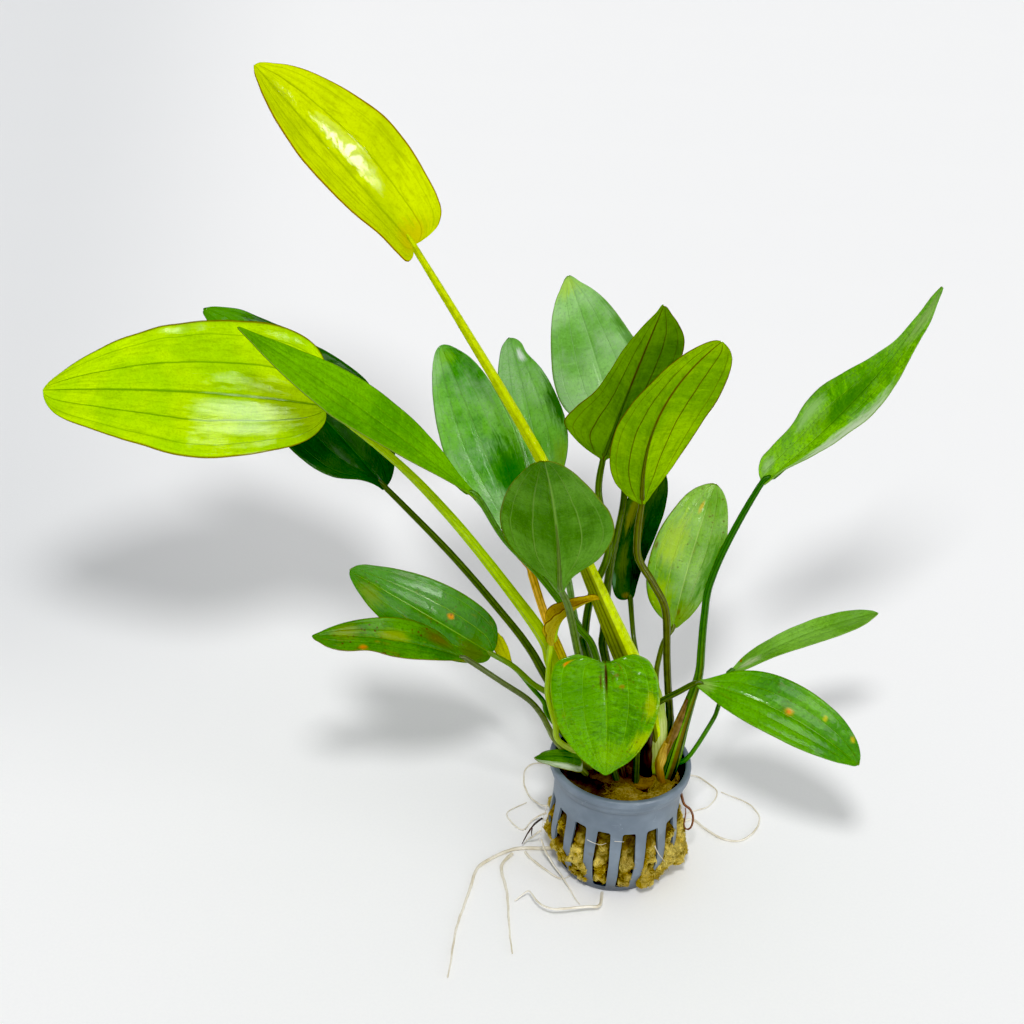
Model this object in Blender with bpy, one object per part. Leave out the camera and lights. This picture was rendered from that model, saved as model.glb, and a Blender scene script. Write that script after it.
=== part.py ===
# Potted echinodorus: a young sword plant rooted in a slotted net pot.
# Lengths and places are written in millimetres and become metres through MM.
# The pot stands on the ground at the origin, and the plant's front faces -Y.

from math import asin, atan2, cos, pi, radians, sin
import random

import bmesh
import bpy
from mathutils import Matrix, Vector

MM = 0.001
GAP = 0.35                # air left between two pieces that meet

# Net pot
POT_HEIGHT = 50.0
RIM_RADIUS = 27.0
FOOT_RADIUS = 19.5
COLLAR_RADIUS = 24.3      # plain band between the slots and the rim
BELLY_RADIUS = 25.3       # the ribs are pushed out by the swollen medium
BELLY_HEIGHT = 19.0
WALL = 1.2
FLOOR = 2.0
SLOT_COUNT = 16
SLOT_TURN = 9.5           # degrees from the front to the middle of the first slot
SLOT_BOTTOM = 4.2
SLOT_TOP = 33.0
SLOT_WIDTH_TOP = 4.9
SLOT_WIDTH_MIDDLE = 6.2
SLOT_WIDTH_BOTTOM = 5.0
DRAIN_COUNT = 8

# Growing medium
MEDIUM_TOP = 45.5
BULGE = 1.3               # how far the medium swells out of a slot
BULGE_EXTRA = 2.0         # and how much more on the low right-hand side
BULGE_SIDE = -20.0        # direction of that side, in degrees from +X

# Crown, in a hollow of the medium
CROWN_CENTRE = (2.0, 1.5)
CROWN_SIZE = (17.2, 11.5, 3.9)
CROWN_MIDDLE = 44.2
CROWN_TOP = 43.6
HOLLOW_SIZE = (19.0, 13.3, 6.3)
FEET = CROWN_TOP + GAP    # the height at which every stalk starts

# Leaves
BLADE_THICKNESS = 0.8
BLADE_ROWS = 7
BLADE_COLUMNS = 4
STALK_SIDES = 6
STALK_GAP = 0.5           # from the joint of a leaf to its stalk, and to its blade
ROOT_FLOOR = 0.3          # air under the lowest root, so that the pot carries the weight

# One entry for each leaf, all places in mm. foot: (x, y, width) on the crown. stalk: points
# (x, y, z, width) on the way up. base and tip: ends of the blade. face: where its upper side
# looks. Pairs are for the left and the right half, seen from the upper side with the tip up:
# halves: half widths; widest: where along the blade they are reached; fold: degrees that a
# half rises from the midrib. base_shape and tip_shape: small is round, 1 and more is pointed.
LEAVES = {
    "tall": dict(
        foot=(9.5, -1, 5), stalk=[
            (12, -3, 61, 6), (5, -6, 86, 7.5), (-2, -8, 100, 8.5), (-19.5, -10, 138.5, 5.2),
            (-38.5, -11, 180.5, 3.8)],
        base=(-82, -5, 248), tip=(-127, -18, 302.5), halves=(12, 20.5), widest=(0.5, 0.42),
        face=(0.1, -0.8, 0.5), fold=(48, 4), flat=0.55, base_shape=(0.5, 0.25),
    ),
    "broad": dict(
        foot=(-6, 0.5, 4.6), stalk=[
            (-27, -1, 88, 5.4), (-32, -2, 102.5, 5), (-45.5, -4, 123.5, 4), (-66, -7, 152, 3.4),
            (-86.5, -8, 174.5, 2.8)],
        base=(-110, -8, 193), tip=(-194, -30, 203), halves=(21.5, 24.5), widest=(0.45, 0.38),
        face=(0.1, -0.7, 0.7), fold=(4, 4), arch=6, flat=0.75, base_shape=(0.3, 0.3),
        tip_shape=(0.55, 0.65),
    ),
    "long": dict(
        foot=(-1.5, 0.8, 2.6), stalk=[
            (-13, -4, 97, 2.6), (-21.5, -7, 113, 2.4), (-35.5, -13, 135.5, 2.2),
            (-48.5, -20, 153.5, 2)],
        base=(-58, -28, 173.5), tip=(-129, -45, 234), halves=(11.5, 10), widest=(0.6, 0.45),
        face=(0.65, -0.3, 0.7), fold=(8, 8), arch=2, base_shape=(0.7, 0.7),
    ),
    "shaded": dict(
        foot=(-9, 4, 3.4), stalk=[
            (-30.5, 5, 81.5, 3.2), (-37, 6, 92.5, 3), (-46.5, 7, 105, 2.8), (-68, 9, 130, 2.6)],
        base=(-91.5, 10, 154.5), tip=(-155, 22, 212), halves=(18, 21), widest=(0.38, 0.42),
        face=(0.2, -0.5, 0.8), fold=(6, 6), arch=5,
    ),
    "speckled": dict(
        foot=(1, 9, 2.6), stalk=[
            (-15.5, 7, 93, 2.6), (-19.5, 7, 103, 2.4), (-28.5, 8, 116, 2.2)],
        base=(-43, 10, 136), tip=(-74, 18, 206), halves=(15.5, 16), widest=(0.48, 0.48),
        face=(0.1, -0.9, 0.4), fold=(6, 6), arch=3,
    ),
    "inner": dict(
        foot=(5, 10, 2.6), stalk=[
            (-17, 12, 89.5, 2.6), (-21.5, 15, 103.5, 2.4), (-25, 18, 118, 2.4)],
        base=(-33, 26, 141), tip=(-51, 38, 202), halves=(13, 12.5), widest=(0.5, 0.5),
        face=(0.2, -0.9, 0.4), fold=(6, 6), arch=3,
    ),
    "upright": dict(
        foot=(7, 6, 3), stalk=[
            (-8.5, 10, 87.5, 3.2), (-10, 13, 99.5, 3), (-9.5, 20, 120.5, 2.8),
            (-6, 31, 143.5, 2.4)],
        base=(-7, 42, 159), tip=(-31.5, 52, 221), halves=(16.5, 16), widest=(0.42, 0.45),
        face=(0.1, -0.9, 0.3), fold=(7, 7), arch=2,
    ),
    "hood_back": dict(
        foot=(1.5, 4.5, 2.8), stalk=[
            (-16.5, 3.5, 94.5, 2.8), (-17.5, 4, 102.5, 2.8), (-16.5, 4.5, 118.5, 2.6),
            (-11.5, 8, 136.5, 2.6), (-16.5, 14, 154.5, 2.4)],
        base=(-16, 16, 168), tip=(-2, 4, 230), halves=(16, 15), widest=(0.6, 0.22),
        face=(0.1, 0.9, 0.3), fold=(14, 20), arch=3, tip_shape=(0.7, 2.5),
    ),
    "hood_front": dict(
        foot=(14, 4, 3.2), stalk=[
            (17, 2, 64, 3), (16.5, 1, 71.5, 2.8), (14.5, 0, 84, 2.6), (12.5, -1, 98, 2.6),
            (10, -1, 117.5, 2.6), (4.5, 0, 128, 2.6), (-1.5, 1, 137.5, 2.6), (-2.5, 3, 147.5, 2.6)],
        base=(-2, 4, 158), tip=(15, -14, 226), halves=(14.5, 13), widest=(0.6, 0.38),
        face=(0, 0.9, 0.3), fold=(12, 12), arch=3, bow=7,
    ),
    "front_cup": dict(
        foot=(-1, -6.5, 2.6), stalk=[
            (-18, -14, 99.5, 2.6), (-20.5, -17.5, 107.5, 2.6), (-26, -32, 135.5, 2.5)],
        base=(-29.5, -41, 148.5), tip=(-38, -58, 203), halves=(20, 19), widest=(0.46, 0.46),
        face=(0.2, 0.9, 0.4), fold=(16, 16), arch=4, base_shape=(1, 1),
    ),
    "folded": dict(
        foot=(10, 9.5, 1.8), stalk=[
            (8, 13, 70, 1.8), (4.5, 16, 82.5, 1.8), (2, 21, 91.5, 1.7)],
        base=(0.5, 33, 100.5), tip=(7, 40, 155), halves=(8.5, 7.5), widest=(0.55, 0.6),
        face=(0.2, -0.9, 0.3), fold=(10, 10), arch=2, bow=-3.5, lobe=2, base_shape=(0.25, 0.8),
        tip_shape=(0.5, 0.5),
    ),
    "patched": dict(
        foot=(14, 8, 2.2), stalk=[
            (12, 12, 72, 2), (11.5, 14, 80, 2), (12, 16, 84.5, 2), (13.5, 19, 91, 1.9)],
        base=(17, 24, 94), tip=(27, 34, 151), halves=(14.5, 12), widest=(0.42, 0.55),
        face=(0.1, -0.9, 0.3), fold=(6, 6), arch=2, bow=-1.5,
    ),
    "right_high": dict(
        foot=(15.8, -1.5, 4.6), stalk=[
            (21.5, -3, 61, 5.2), (23, -4, 74.5, 4.2), (24.5, -4, 91.5, 3.2), (24, -4, 105, 2.8),
            (23.5, -4, 118, 2.6), (24, -3, 130.5, 2.5), (28.5, -3, 149, 2.4)],
        base=(37, -2, 171.5), tip=(80.5, -12, 247), halves=(12.5, 12), widest=(0.22, 0.6),
        face=(-0.5, -0.3, 0.6), fold=(12, 12), arch=-5, flat=0.8, base_shape=(0.4, 0.9),
        tip_shape=(1.5, 0.7),
    ),
    "right_low": dict(
        foot=(6, -7, 2.6), stalk=[
            (4.5, -10, 77.5, 2.4), (11, -11, 85, 2.2), (17, -12, 90.5, 2.2)],
        base=(23, -12, 95), tip=(79, -34, 79.5), halves=(11.5, 10.5), widest=(0.5, 0.5),
        face=(0.2, -0.6, 0.8), fold=(5, 5), arch=4, bow=-3,
    ),
    "right_thin": dict(
        foot=(17.5, 3.5, 2), stalk=[
            (22, 0, 48.5, 1.8), (26, -1, 53.5, 1.7), (33.5, 5, 65.5, 1.7), (35.5, 8, 70, 1.7)],
        base=(38.5, 13, 82.5), tip=(93, 26, 105), halves=(5, 6.5), widest=(0.55, 0.7),
        face=(-0.15, -0.15, 0.95), fold=(8, 8), arch=4, base_shape=(0.8, 0.8),
        tip_shape=(0.5, 0.5),
    ),
    "left_high": dict(
        foot=(-12.5, 0.5, 2.4), stalk=[
            (-25, -2.5, 74.7, 2.2), (-30.5, -4.5, 81.5, 2.2), (-35.5, -5.5, 85.5, 2.2), (-43, -6, 93, 2.1)],
        base=(-51, -7, 98.5), tip=(-100, -21, 138.5), halves=(11.5, 13.5), widest=(0.45, 0.35),
        face=(0.2, -0.8, 0.55), fold=(6, 6), arch=3, base_shape=(0.4, 0.25),
    ),
    "left_low": dict(
        foot=(-12.5, -3.5, 2.4), stalk=[
            (-25, -6, 60, 2.3), (-28.5, -9, 68.5, 2.2), (-32, -13, 78, 2.2), (-37, -18, 87.5, 2.1),
            (-46.5, -24, 98.5, 2)],
        base=(-59.5, -26, 109), tip=(-110, -41, 125), halves=(6.5, 8), widest=(0.55, 0.38),
        face=(0.1, -0.5, 0.85), fold=(6, 6), arch=3, bow=1.5,
    ),
    "left_small": dict(
        foot=(-12, 4.5, 2), stalk=[
            (-28, 2, 65, 1.8), (-30.5, 2.5, 71.5, 1.8), (-35, 3, 77, 1.8), (-40.5, 3, 84, 1.7)],
        base=(-44, 4, 87), tip=(-49.5, 6, 99.5), halves=(4, 1.5), widest=(0.55, 0.4),
        face=(0.3, -0.8, 0.4), fold=(20, 20),
    ),
    "wilted": dict(
        foot=(-8.5, -5, 2.4), stalk=[
            (-23.5, -12.5, 64.5, 2.2), (-26.5, -14.5, 75, 2.1), (-30, -16, 88, 2),
            (-30.5, -18, 97.5, 2)],
        base=(-30.5, -20, 113.5), tip=(-16, -24, 136), halves=(4.5, 4.5), widest=(0.4, 0.4),
        face=(-0.6, -0.3, 0.6), fold=(55, 55), arch=5,
    ),
    "heart": dict(
        foot=(2, -4.5, 2.6), stalk=[(-6.5, -9, 75, 2.4), (-9, -12, 91, 2.2), (-10.5, -16, 101, 2)],
        joint=(-11, -20, 106), base=(-11, -21, 107), tip=(-7.5, -30, 65), halves=(19, 19),
        widest=(0.33, 0.33), face=(0, -0.9, 0.4), fold=(4, 4), arch=3, lobe=4.5, base_shape=(0.3, 0.3),
        tip_shape=(0.5, 0.5),
    ),
    "rim": dict(
        base=(-21.5, -8.5, 57), tip=(-33, -15, 59.5), halves=(7.5, 3), widest=(0.35, 0.4),
        face=(0.1, -0.4, 0.9), fold=(10, 10), arch=2,
    ),
}

DEAD_STALK = [
    (-3.5, -3, FEET, 3), (-26, -8, 100.5, 3), (-31.5, -9, 113.5, 2.9), (-35, -9, 123, 2.8),
    (-39.5, -9, 136, 2.6), (-42.5, -9, 139, 1.4),
]

# Roots: a diameter, and points (x, y, z) from the pot outwards
ROOTS = {
    "long": (1.5, [
        (-21.6, 0.5, 2.5), (-28, 1, 1.1), (-35, 0.7, 1.1), (-40.5, -1.5, 1.1), (-47, -6.5, 1.1),
        (-51.5, -11.5, 1.1), (-53, -17, 1.1), (-55, -28, 1.1), (-58, -44, 1.1), (-59.5, -68, 1.1)]),
    "fork": (1.3, [
        (-38.5, -2.8, 1), (-42, -8, 1), (-42.5, -13, 1), (-40, -24, 1), (-38.5, -42, 1),
        (-37, -55, 1)]),
    "returning": (1.0, [
        (-33.5, -1.2, 0.9), (-31.5, -4.5, 0.9), (-28, -8, 0.9), (-23.2, -12.6, 0.9),
        (-18.7, -15, 0.9), (-15.8, -13.4, 0.9)]),
    "pale": (0.8, [(-28.2, -1.2, 12), (-31, 2, 6), (-33, 3.8, 2.4), (-34, 3, 1.4)]),
    "dark": (0.9, [(-28, -3, 20), (-30.5, -1.5, 16), (-33, -0.7, 10), (-35, -0.4, 4)]),
    "trailing": (0.8, [
        (-27.8, -7, 13), (-25.5, -7, 6.5), (-22.3, -10, 3), (-18.8, -16.5, 3), (-15, -23, 1),
        (-12, -28, 0.8)]),
    "front": (1.2, [
        (-3.5, -21.4, 1), (-5, -30, 2.5), (-10.5, -32.5, 4), (-21, -35.5, 5), (-26, -34.5, 5),
        (-29, -31.5, 5), (-31.5, -26.5, 4.5), (-33.5, -26.5, 3), (-37, -28.5, 1)]),
    "back_loop": (0.8, [
        (-21.8, 18.2, 11), (-26, 21, 6), (-30, 28, 2), (-33.5, 35, 0.8), (-35, 42.5, 0.8),
        (-34, 50.5, 0.8), (-29.5, 54.5, 0.8), (-20, 52, 0.8), (-12, 40, 0.8), (-8, 26, 2)]),
    "side_loop": (0.8, [
        (-26, 11.8, 10), (-28.8, 16.5, 4), (-31.5, 16, 1.5), (-35, 11.5, 0.8), (-40, 17, 0.8),
        (-41, 22, 0.8), (-33.5, 28.5, 0.8)]),
    "right_small": (0.9, [
        (13, 22.5, 3), (20, 36, 0.9), (30, 50, 0.9), (38.5, 52, 0.9), (45, 46, 0.9),
        (46.8, 41.8, 0.9), (45, 36.5, 0.9), (41.5, 32, 0.9), (35.5, 29, 0.9), (27, 24, 0.9)]),
    "right_loop": (1.1, [
        (24.5, 15.5, 2.2), (34, 24, 0.9), (39.5, 19, 0.9), (46, 13.5, 0.9), (52.5, 12.5, 0.9),
        (57.5, 16, 0.9), (61.5, 22, 0.9), (63, 28, 0.9), (61.5, 33, 0.9), (58, 37, 0.9),
        (48.5, 42.5, 0.9)]),
    "rust": (1.3, [
        (25.5, 1, 33), (27.5, -1.5, 28.5), (30, -2.5, 26), (30.5, -3.5, 23.5), (29.5, -4, 21.5)]),
}

GREEN = (0.09, 0.25, 0.02)
LEAF_COLORS = {
    "tall": (0.52, 0.66, 0.01), "broad": (0.35, 0.6, 0.01), "shaded": (0.01, 0.07, 0.01),
    "hood_back": (0.14, 0.24, 0.02), "hood_front": (0.2, 0.33, 0.03), "wilted": (0.3, 0.22, 0.02),
    "folded": (0.02, 0.09, 0.01), "heart": (0.16, 0.42, 0.01), "patched": (0.2, 0.36, 0.04),
    "left_small": (0.35, 0.33, 0.03),
}
STALK_COLORS = {
    "tall": (0.42, 0.56, 0.02), "broad": (0.32, 0.5, 0.03), "wilted": (0.3, 0.42, 0.03),
    "hood_back": (0.08, 0.1, 0.02), "hood_front": (0.12, 0.13, 0.03),
}
ROOT_COLORS = {"dark": (0.02, 0.01, 0.008), "rust": (0.3, 0.1, 0.02)}


def clear_scene():
    for thing in list(bpy.data.objects):
        bpy.data.objects.remove(thing, do_unlink=True)


def make_material(name, color, roughness, metallic=0.0):
    material = bpy.data.materials.new(name)
    material.use_nodes = True
    shader = material.node_tree.nodes["Principled BSDF"]
    shader.inputs["Base Color"].default_value = (*color, 1.0)
    shader.inputs["Roughness"].default_value = roughness
    shader.inputs["Metallic"].default_value = metallic
    material.diffuse_color = (*color, 1.0)
    return material


def add_object(name, bm, material=None, smooth_angle=None):
    bmesh.ops.recalc_face_normals(bm, faces=bm.faces)
    bmesh.ops.scale(bm, vec=(MM, MM, MM), verts=bm.verts)
    mesh = bpy.data.meshes.new(name)
    bm.to_mesh(mesh)
    bm.free()
    if smooth_angle is not None:
        mesh.shade_smooth()
        mesh.set_sharp_from_angle(angle=radians(smooth_angle))
    if material is not None:
        mesh.materials.append(material)
    thing = bpy.data.objects.new(name, mesh)
    bpy.context.scene.collection.objects.link(thing)
    return thing


def cut(target, cutter):
    cutter.hide_render = True
    cutter.display_type = "WIRE"
    boolean = target.modifiers.new("cut by " + cutter.name, "BOOLEAN")
    boolean.operation = "DIFFERENCE"
    boolean.solver = "EXACT"
    boolean.object = cutter


def smooth_points(points, per_span):
    # Catmull-Rom curve through the points; a fourth value, the width, is smoothed too
    before = [2 * a - b for a, b in zip(points[0], points[1])]
    after = [2 * a - b for a, b in zip(points[-1], points[-2])]
    line = [before, *points, after]
    curve = []
    for i in range(1, len(line) - 2):
        for step in range(per_span):
            t = step / per_span
            curve.append([
                0.5 * (2 * b + (c - a) * t + (2 * a - 5 * b + 4 * c - d) * t ** 2
                       + (3 * b - a - 3 * c + d) * t ** 3)
                for a, b, c, d in zip(*line[i - 1:i + 3])
            ])
    curve.append(list(points[-1]))
    return curve


def even_points(points, count):
    # the smooth curve, read at evenly spaced places along its length
    fine = smooth_points(points, 12)
    run = [0.0]
    for a, b in zip(fine, fine[1:]):
        run.append(run[-1] + (Vector(b[:3]) - Vector(a[:3])).length)
    picked = []
    i = 0
    for step in range(count):
        want = run[-1] * step / (count - 1)
        while i < len(run) - 2 and run[i + 1] < want:
            i += 1
        share = (want - run[i]) / (run[i + 1] - run[i])
        picked.append([a + (b - a) * share for a, b in zip(fine[i], fine[i + 1])])
    return picked


# Net pot

def wall_radius(z):
    # outer radius of the basket, from the foot over the belly to the collar
    if z < BELLY_HEIGHT:
        return FOOT_RADIUS + (BELLY_RADIUS - FOOT_RADIUS) * sin(z / BELLY_HEIGHT * pi / 2)
    t = min((z - BELLY_HEIGHT) / (SLOT_TOP - BELLY_HEIGHT), 1.0)
    return BELLY_RADIUS + (COLLAR_RADIUS - BELLY_RADIUS) * (1 - cos(t * pi)) / 2


def pot_profile():
    basket = [1.5, 4.0, 9.0, 14.0, BELLY_HEIGHT, 26.0, SLOT_TOP]
    outside = [(0.0, 0.0), (FOOT_RADIUS - 0.5, 0.0)]
    outside += [(wall_radius(z), z) for z in basket]
    outside += [
        (COLLAR_RADIUS, 40.0),
        (COLLAR_RADIUS + 0.5, 43.4),
        (RIM_RADIUS - 1.2, 43.9),
        (RIM_RADIUS - 0.9, 46.6),
        (RIM_RADIUS, 47.1),
        (RIM_RADIUS, POT_HEIGHT - 0.5),
        (RIM_RADIUS - 0.6, POT_HEIGHT),
    ]
    inside = [
        (RIM_RADIUS - 1.9, POT_HEIGHT),
        (RIM_RADIUS - 2.4, POT_HEIGHT - 0.8),
        (COLLAR_RADIUS - WALL + 0.2, 42.0),
    ]
    inside += [(wall_radius(z) - WALL, z) for z in reversed(basket[1:])]
    inside += [(wall_radius(FLOOR) - WALL - 0.3, FLOOR), (0.0, FLOOR)]
    return outside + inside


def make_pot():
    bm = bmesh.new()
    verts = [bm.verts.new((r, 0.0, z)) for r, z in pot_profile()]
    edges = [bm.edges.new(pair) for pair in zip(verts, verts[1:])]
    bmesh.ops.spin(
        bm, geom=verts + edges, cent=(0, 0, 0), axis=(0, 0, 1),
        angle=2 * pi, steps=3 * SLOT_COUNT, use_merge=True,
    )
    bmesh.ops.remove_doubles(bm, verts=bm.verts, dist=0.01)
    plastic = make_material("slate plastic", (0.2, 0.24, 0.31), 0.55)
    pot = add_object("net_pot", bm, plastic, smooth_angle=35)
    cut(pot, make_slot_cutter())
    cut(pot, make_drain_cutter())


def slot_angle(index):
    return radians(SLOT_TURN - 90 + index * 360 / SLOT_COUNT)


def slot_half_width(z):
    if z < BELLY_HEIGHT:
        share = (z - SLOT_BOTTOM) / (BELLY_HEIGHT - SLOT_BOTTOM)
        return 0.5 * (SLOT_WIDTH_BOTTOM + (SLOT_WIDTH_MIDDLE - SLOT_WIDTH_BOTTOM) * share)
    share = (z - BELLY_HEIGHT) / (SLOT_TOP - BELLY_HEIGHT)
    return 0.5 * (SLOT_WIDTH_MIDDLE + (SLOT_WIDTH_TOP - SLOT_WIDTH_MIDDLE) * share)


def make_slot_cutter():
    bm = bmesh.new()
    inner, outer, corner = 14.0, 32.0, 1.0
    for index in range(SLOT_COUNT):
        section = [
            (-slot_half_width(SLOT_BOTTOM), SLOT_BOTTOM),
            (slot_half_width(SLOT_BOTTOM), SLOT_BOTTOM),
            (slot_half_width(BELLY_HEIGHT), BELLY_HEIGHT),
            (slot_half_width(SLOT_TOP - corner), SLOT_TOP - corner),
            (slot_half_width(SLOT_TOP) - corner, SLOT_TOP),
            (corner - slot_half_width(SLOT_TOP), SLOT_TOP),
            (-slot_half_width(SLOT_TOP - corner), SLOT_TOP - corner),
            (-slot_half_width(BELLY_HEIGHT), BELLY_HEIGHT),
        ]
        face = bm.faces.new([bm.verts.new((inner, y, z)) for y, z in section])
        near = list(face.verts)
        made = bmesh.ops.extrude_face_region(bm, geom=[face])["geom"]
        far = [item for item in made if isinstance(item, bmesh.types.BMVert)]
        bmesh.ops.translate(bm, vec=(outer - inner, 0, 0), verts=far)
        turn = Matrix.Rotation(slot_angle(index), 3, "Z")
        bmesh.ops.rotate(bm, verts=near + far, cent=(0, 0, 0), matrix=turn)
    return add_object("slot_cutter", bm)


def make_drain_cutter():
    bm = bmesh.new()
    for index in range(DRAIN_COUNT):
        bar = bmesh.ops.create_cube(bm, size=1.0)["verts"]
        bmesh.ops.scale(bm, vec=(8.0, 3.2, 3 * FLOOR), verts=bar)
        bmesh.ops.translate(bm, vec=(11.5, 0.0, FLOOR / 2), verts=bar)
        turn = Matrix.Rotation(2 * pi * (index + 0.5) / DRAIN_COUNT, 3, "Z")
        bmesh.ops.rotate(bm, verts=bar, cent=(0, 0, 0), matrix=turn)
    return add_object("drain_cutter", bm)


# Growing medium: a core inside the basket, with a lump swollen out of every slot

def core_radius(z):
    return wall_radius(min(z, SLOT_TOP)) - WALL - GAP - 0.35


def lump_radius(index, z):
    middle = max(1 - ((z - 16.0) / 17.0) ** 2, 0.25)
    toward = max(cos(slot_angle(index) - radians(BULGE_SIDE)), 0.0)
    low = 1.0 if z < 20 else 0.35
    return wall_radius(z) + (BULGE + BULGE_EXTRA * low * toward ** 2) * middle


def make_medium():
    levels = [FLOOR + 0.5, 5.0, 8.0, 14.0, 20.0, 26.5, 31.6, MEDIUM_TOP]
    swollen = levels[2:6]
    columns = 4 * SLOT_COUNT
    dice = random.Random(7)
    bm = bmesh.new()
    bmesh.ops.create_cone(
        bm, cap_ends=True, segments=columns, radius1=10.0, radius2=10.0,
        depth=levels[-1] - levels[0],
    )
    bmesh.ops.translate(bm, vec=(0, 0, (levels[-1] + levels[0]) / 2), verts=bm.verts)
    for z in levels[1:-1]:
        geometry = bm.verts[:] + bm.edges[:] + bm.faces[:]
        bmesh.ops.bisect_plane(bm, geom=geometry, plane_co=(0, 0, z), plane_no=(0, 0, 1))
    for vert in bm.verts:
        # four columns of points to a slot: two on its edges and two on the lump between
        z = vert.co.z
        column = round(atan2(vert.co.y, vert.co.x) / (2 * pi) * columns) % columns
        index, place = divmod(column, 4)
        edge = asin((slot_half_width(min(z, SLOT_TOP)) - GAP) / core_radius(z))
        angle = slot_angle(index) + edge * (-1.0, -0.55, 0.55, 1.0)[place]
        radius = core_radius(z)
        if place in (1, 2) and any(abs(z - level) < 0.01 for level in swollen):
            radius = lump_radius(index, z) + dice.uniform(-0.4, 0.6)
        vert.co = (radius * cos(angle), radius * sin(angle), z)
    fibre = make_material("fibre medium", (0.26, 0.2, 0.02), 0.9)
    medium = add_object("growing_medium", bm, fibre, smooth_angle=50)
    cut(medium, make_hollow_cutter())


def make_hollow_cutter():
    bm = bmesh.new()
    bmesh.ops.create_uvsphere(bm, u_segments=18, v_segments=8, radius=1.0)
    bmesh.ops.scale(bm, vec=HOLLOW_SIZE, verts=bm.verts)
    bmesh.ops.translate(bm, vec=(*CROWN_CENTRE, MEDIUM_TOP), verts=bm.verts)
    return add_object("hollow_cutter", bm)


def make_crown():
    bm = bmesh.new()
    bmesh.ops.create_uvsphere(bm, u_segments=14, v_segments=8, radius=1.0)
    bmesh.ops.scale(bm, vec=CROWN_SIZE, verts=bm.verts)
    bmesh.ops.translate(bm, vec=(*CROWN_CENTRE, CROWN_MIDDLE), verts=bm.verts)
    upper = [vert for vert in bm.verts if vert.co.z > CROWN_MIDDLE + 0.01]
    bmesh.ops.delete(bm, geom=upper, context="VERTS")
    bmesh.ops.holes_fill(bm, edges=bm.edges, sides=0)
    for vert in bm.verts:
        vert.co.z = min(vert.co.z, CROWN_TOP)
    add_object("crown", bm, make_material("rhizome", (0.16, 0.1, 0.04), 0.8), smooth_angle=50)


# Stalks

def make_stalk(name, points, color, flat=1.0, count=8):
    # a tube of six sides along the points, as deep as flat times its width
    stations = even_points(points, count)
    places = [Vector(s[:3]) for s in stations]
    bm = bmesh.new()
    bmesh.ops.create_circle(bm, cap_ends=False, segments=STALK_SIDES, radius=1.0)
    rings = [list(bm.verts)]
    edges = bm.edges[:]
    for _ in stations[1:]:
        made = bmesh.ops.extrude_edge_only(bm, edges=edges)["geom"]
        rings.append([item for item in made if isinstance(item, bmesh.types.BMVert)])
        edges = [item for item in made if isinstance(item, bmesh.types.BMEdge)]
    for i, (ring, station) in enumerate(zip(rings, stations)):
        along = places[min(i + 1, len(places) - 1)] - places[max(i - 1, 0)]
        along = Vector((0, 0, 1)) if i == 0 else along.normalized()
        across = along.cross(Vector((0, -1, 0))).normalized()
        front = across.cross(along)
        radius = station[3] / 2
        for vert in ring:
            x, y = vert.co.x, vert.co.y
            vert.co = places[i] + across * (x * radius) + front * (y * radius * flat)
    bmesh.ops.holes_fill(bm, edges=bm.edges, sides=0)
    add_object(name, bm, make_material(name + " skin", color, 0.45), smooth_angle=60)


# Blades

def outline(u, widest, base_shape, tip_shape):
    # half width along the blade, as a share of the widest
    if u < widest:
        return sin(pi / 2 * u / widest) ** base_shape
    return sin(pi / 2 * (1 - u) / (1 - widest)) ** tip_shape


def blade_place(leaf, u, v):
    # u runs from the base to the tip, v from the left edge, -1, to the right edge, 1
    base, tip = Vector(leaf["base"]), Vector(leaf["tip"])
    axis = tip - base
    length = axis.length
    axis.normalize()
    face = Vector(leaf["face"])
    face = (face - axis * face.dot(axis)).normalized()
    side = axis.cross(face)
    arch, bow = leaf.get("arch", 0.0), leaf.get("bow", 0.0)
    start = STALK_GAP + u * (length - STALK_GAP)
    hump = 4 * u * (1 - u)
    middle = base + axis * start + face * (arch * hump) + side * (bow * hump)
    slope = 4 * (1 - 2 * u)
    along = (axis * length + face * (arch * slope) + side * (bow * slope)).normalized()
    normal = (face - along * face.dot(along)).normalized()
    across = along.cross(normal)
    which = 0 if v < 0 else 1
    base_shape = leaf.get("base_shape", (0.5, 0.5))[which]
    tip_shape = leaf.get("tip_shape", (0.7, 0.7))[which]
    share = outline(u, leaf["widest"][which], base_shape, tip_shape)
    half = max(leaf["halves"][which] * share, 1.0 - 0.7 * u)
    rise = radians(leaf["fold"][which])
    back = leaf.get("lobe", 0.0) * share * abs(v) * (1 - u) ** 4
    lift = half * abs(v) * sin(rise)
    return middle + across * (half * v * cos(rise)) + normal * lift - along * back


def make_blade(name, leaf, color):
    bm = bmesh.new()
    bmesh.ops.create_grid(bm, x_segments=BLADE_COLUMNS, y_segments=BLADE_ROWS, size=1.0)
    tip_row = [vert for vert in bm.verts if vert.co.y > 0.99]
    for vert in bm.verts:
        v = vert.co.x
        share = (vert.co.y + 1) / 2
        u = (1 - cos(pi * share)) / 2
        vert.co = blade_place(leaf, u, v)
    middle = sum((vert.co for vert in tip_row), Vector()) / len(tip_row)
    bmesh.ops.pointmerge(bm, verts=tip_row, merge_co=middle)
    blade = add_object(name, bm, make_material(name + " skin", color, 0.35), smooth_angle=60)
    solid = blade.modifiers.new("thickness", "SOLIDIFY")
    solid.thickness = BLADE_THICKNESS * MM
    solid.offset = 0.0


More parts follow.
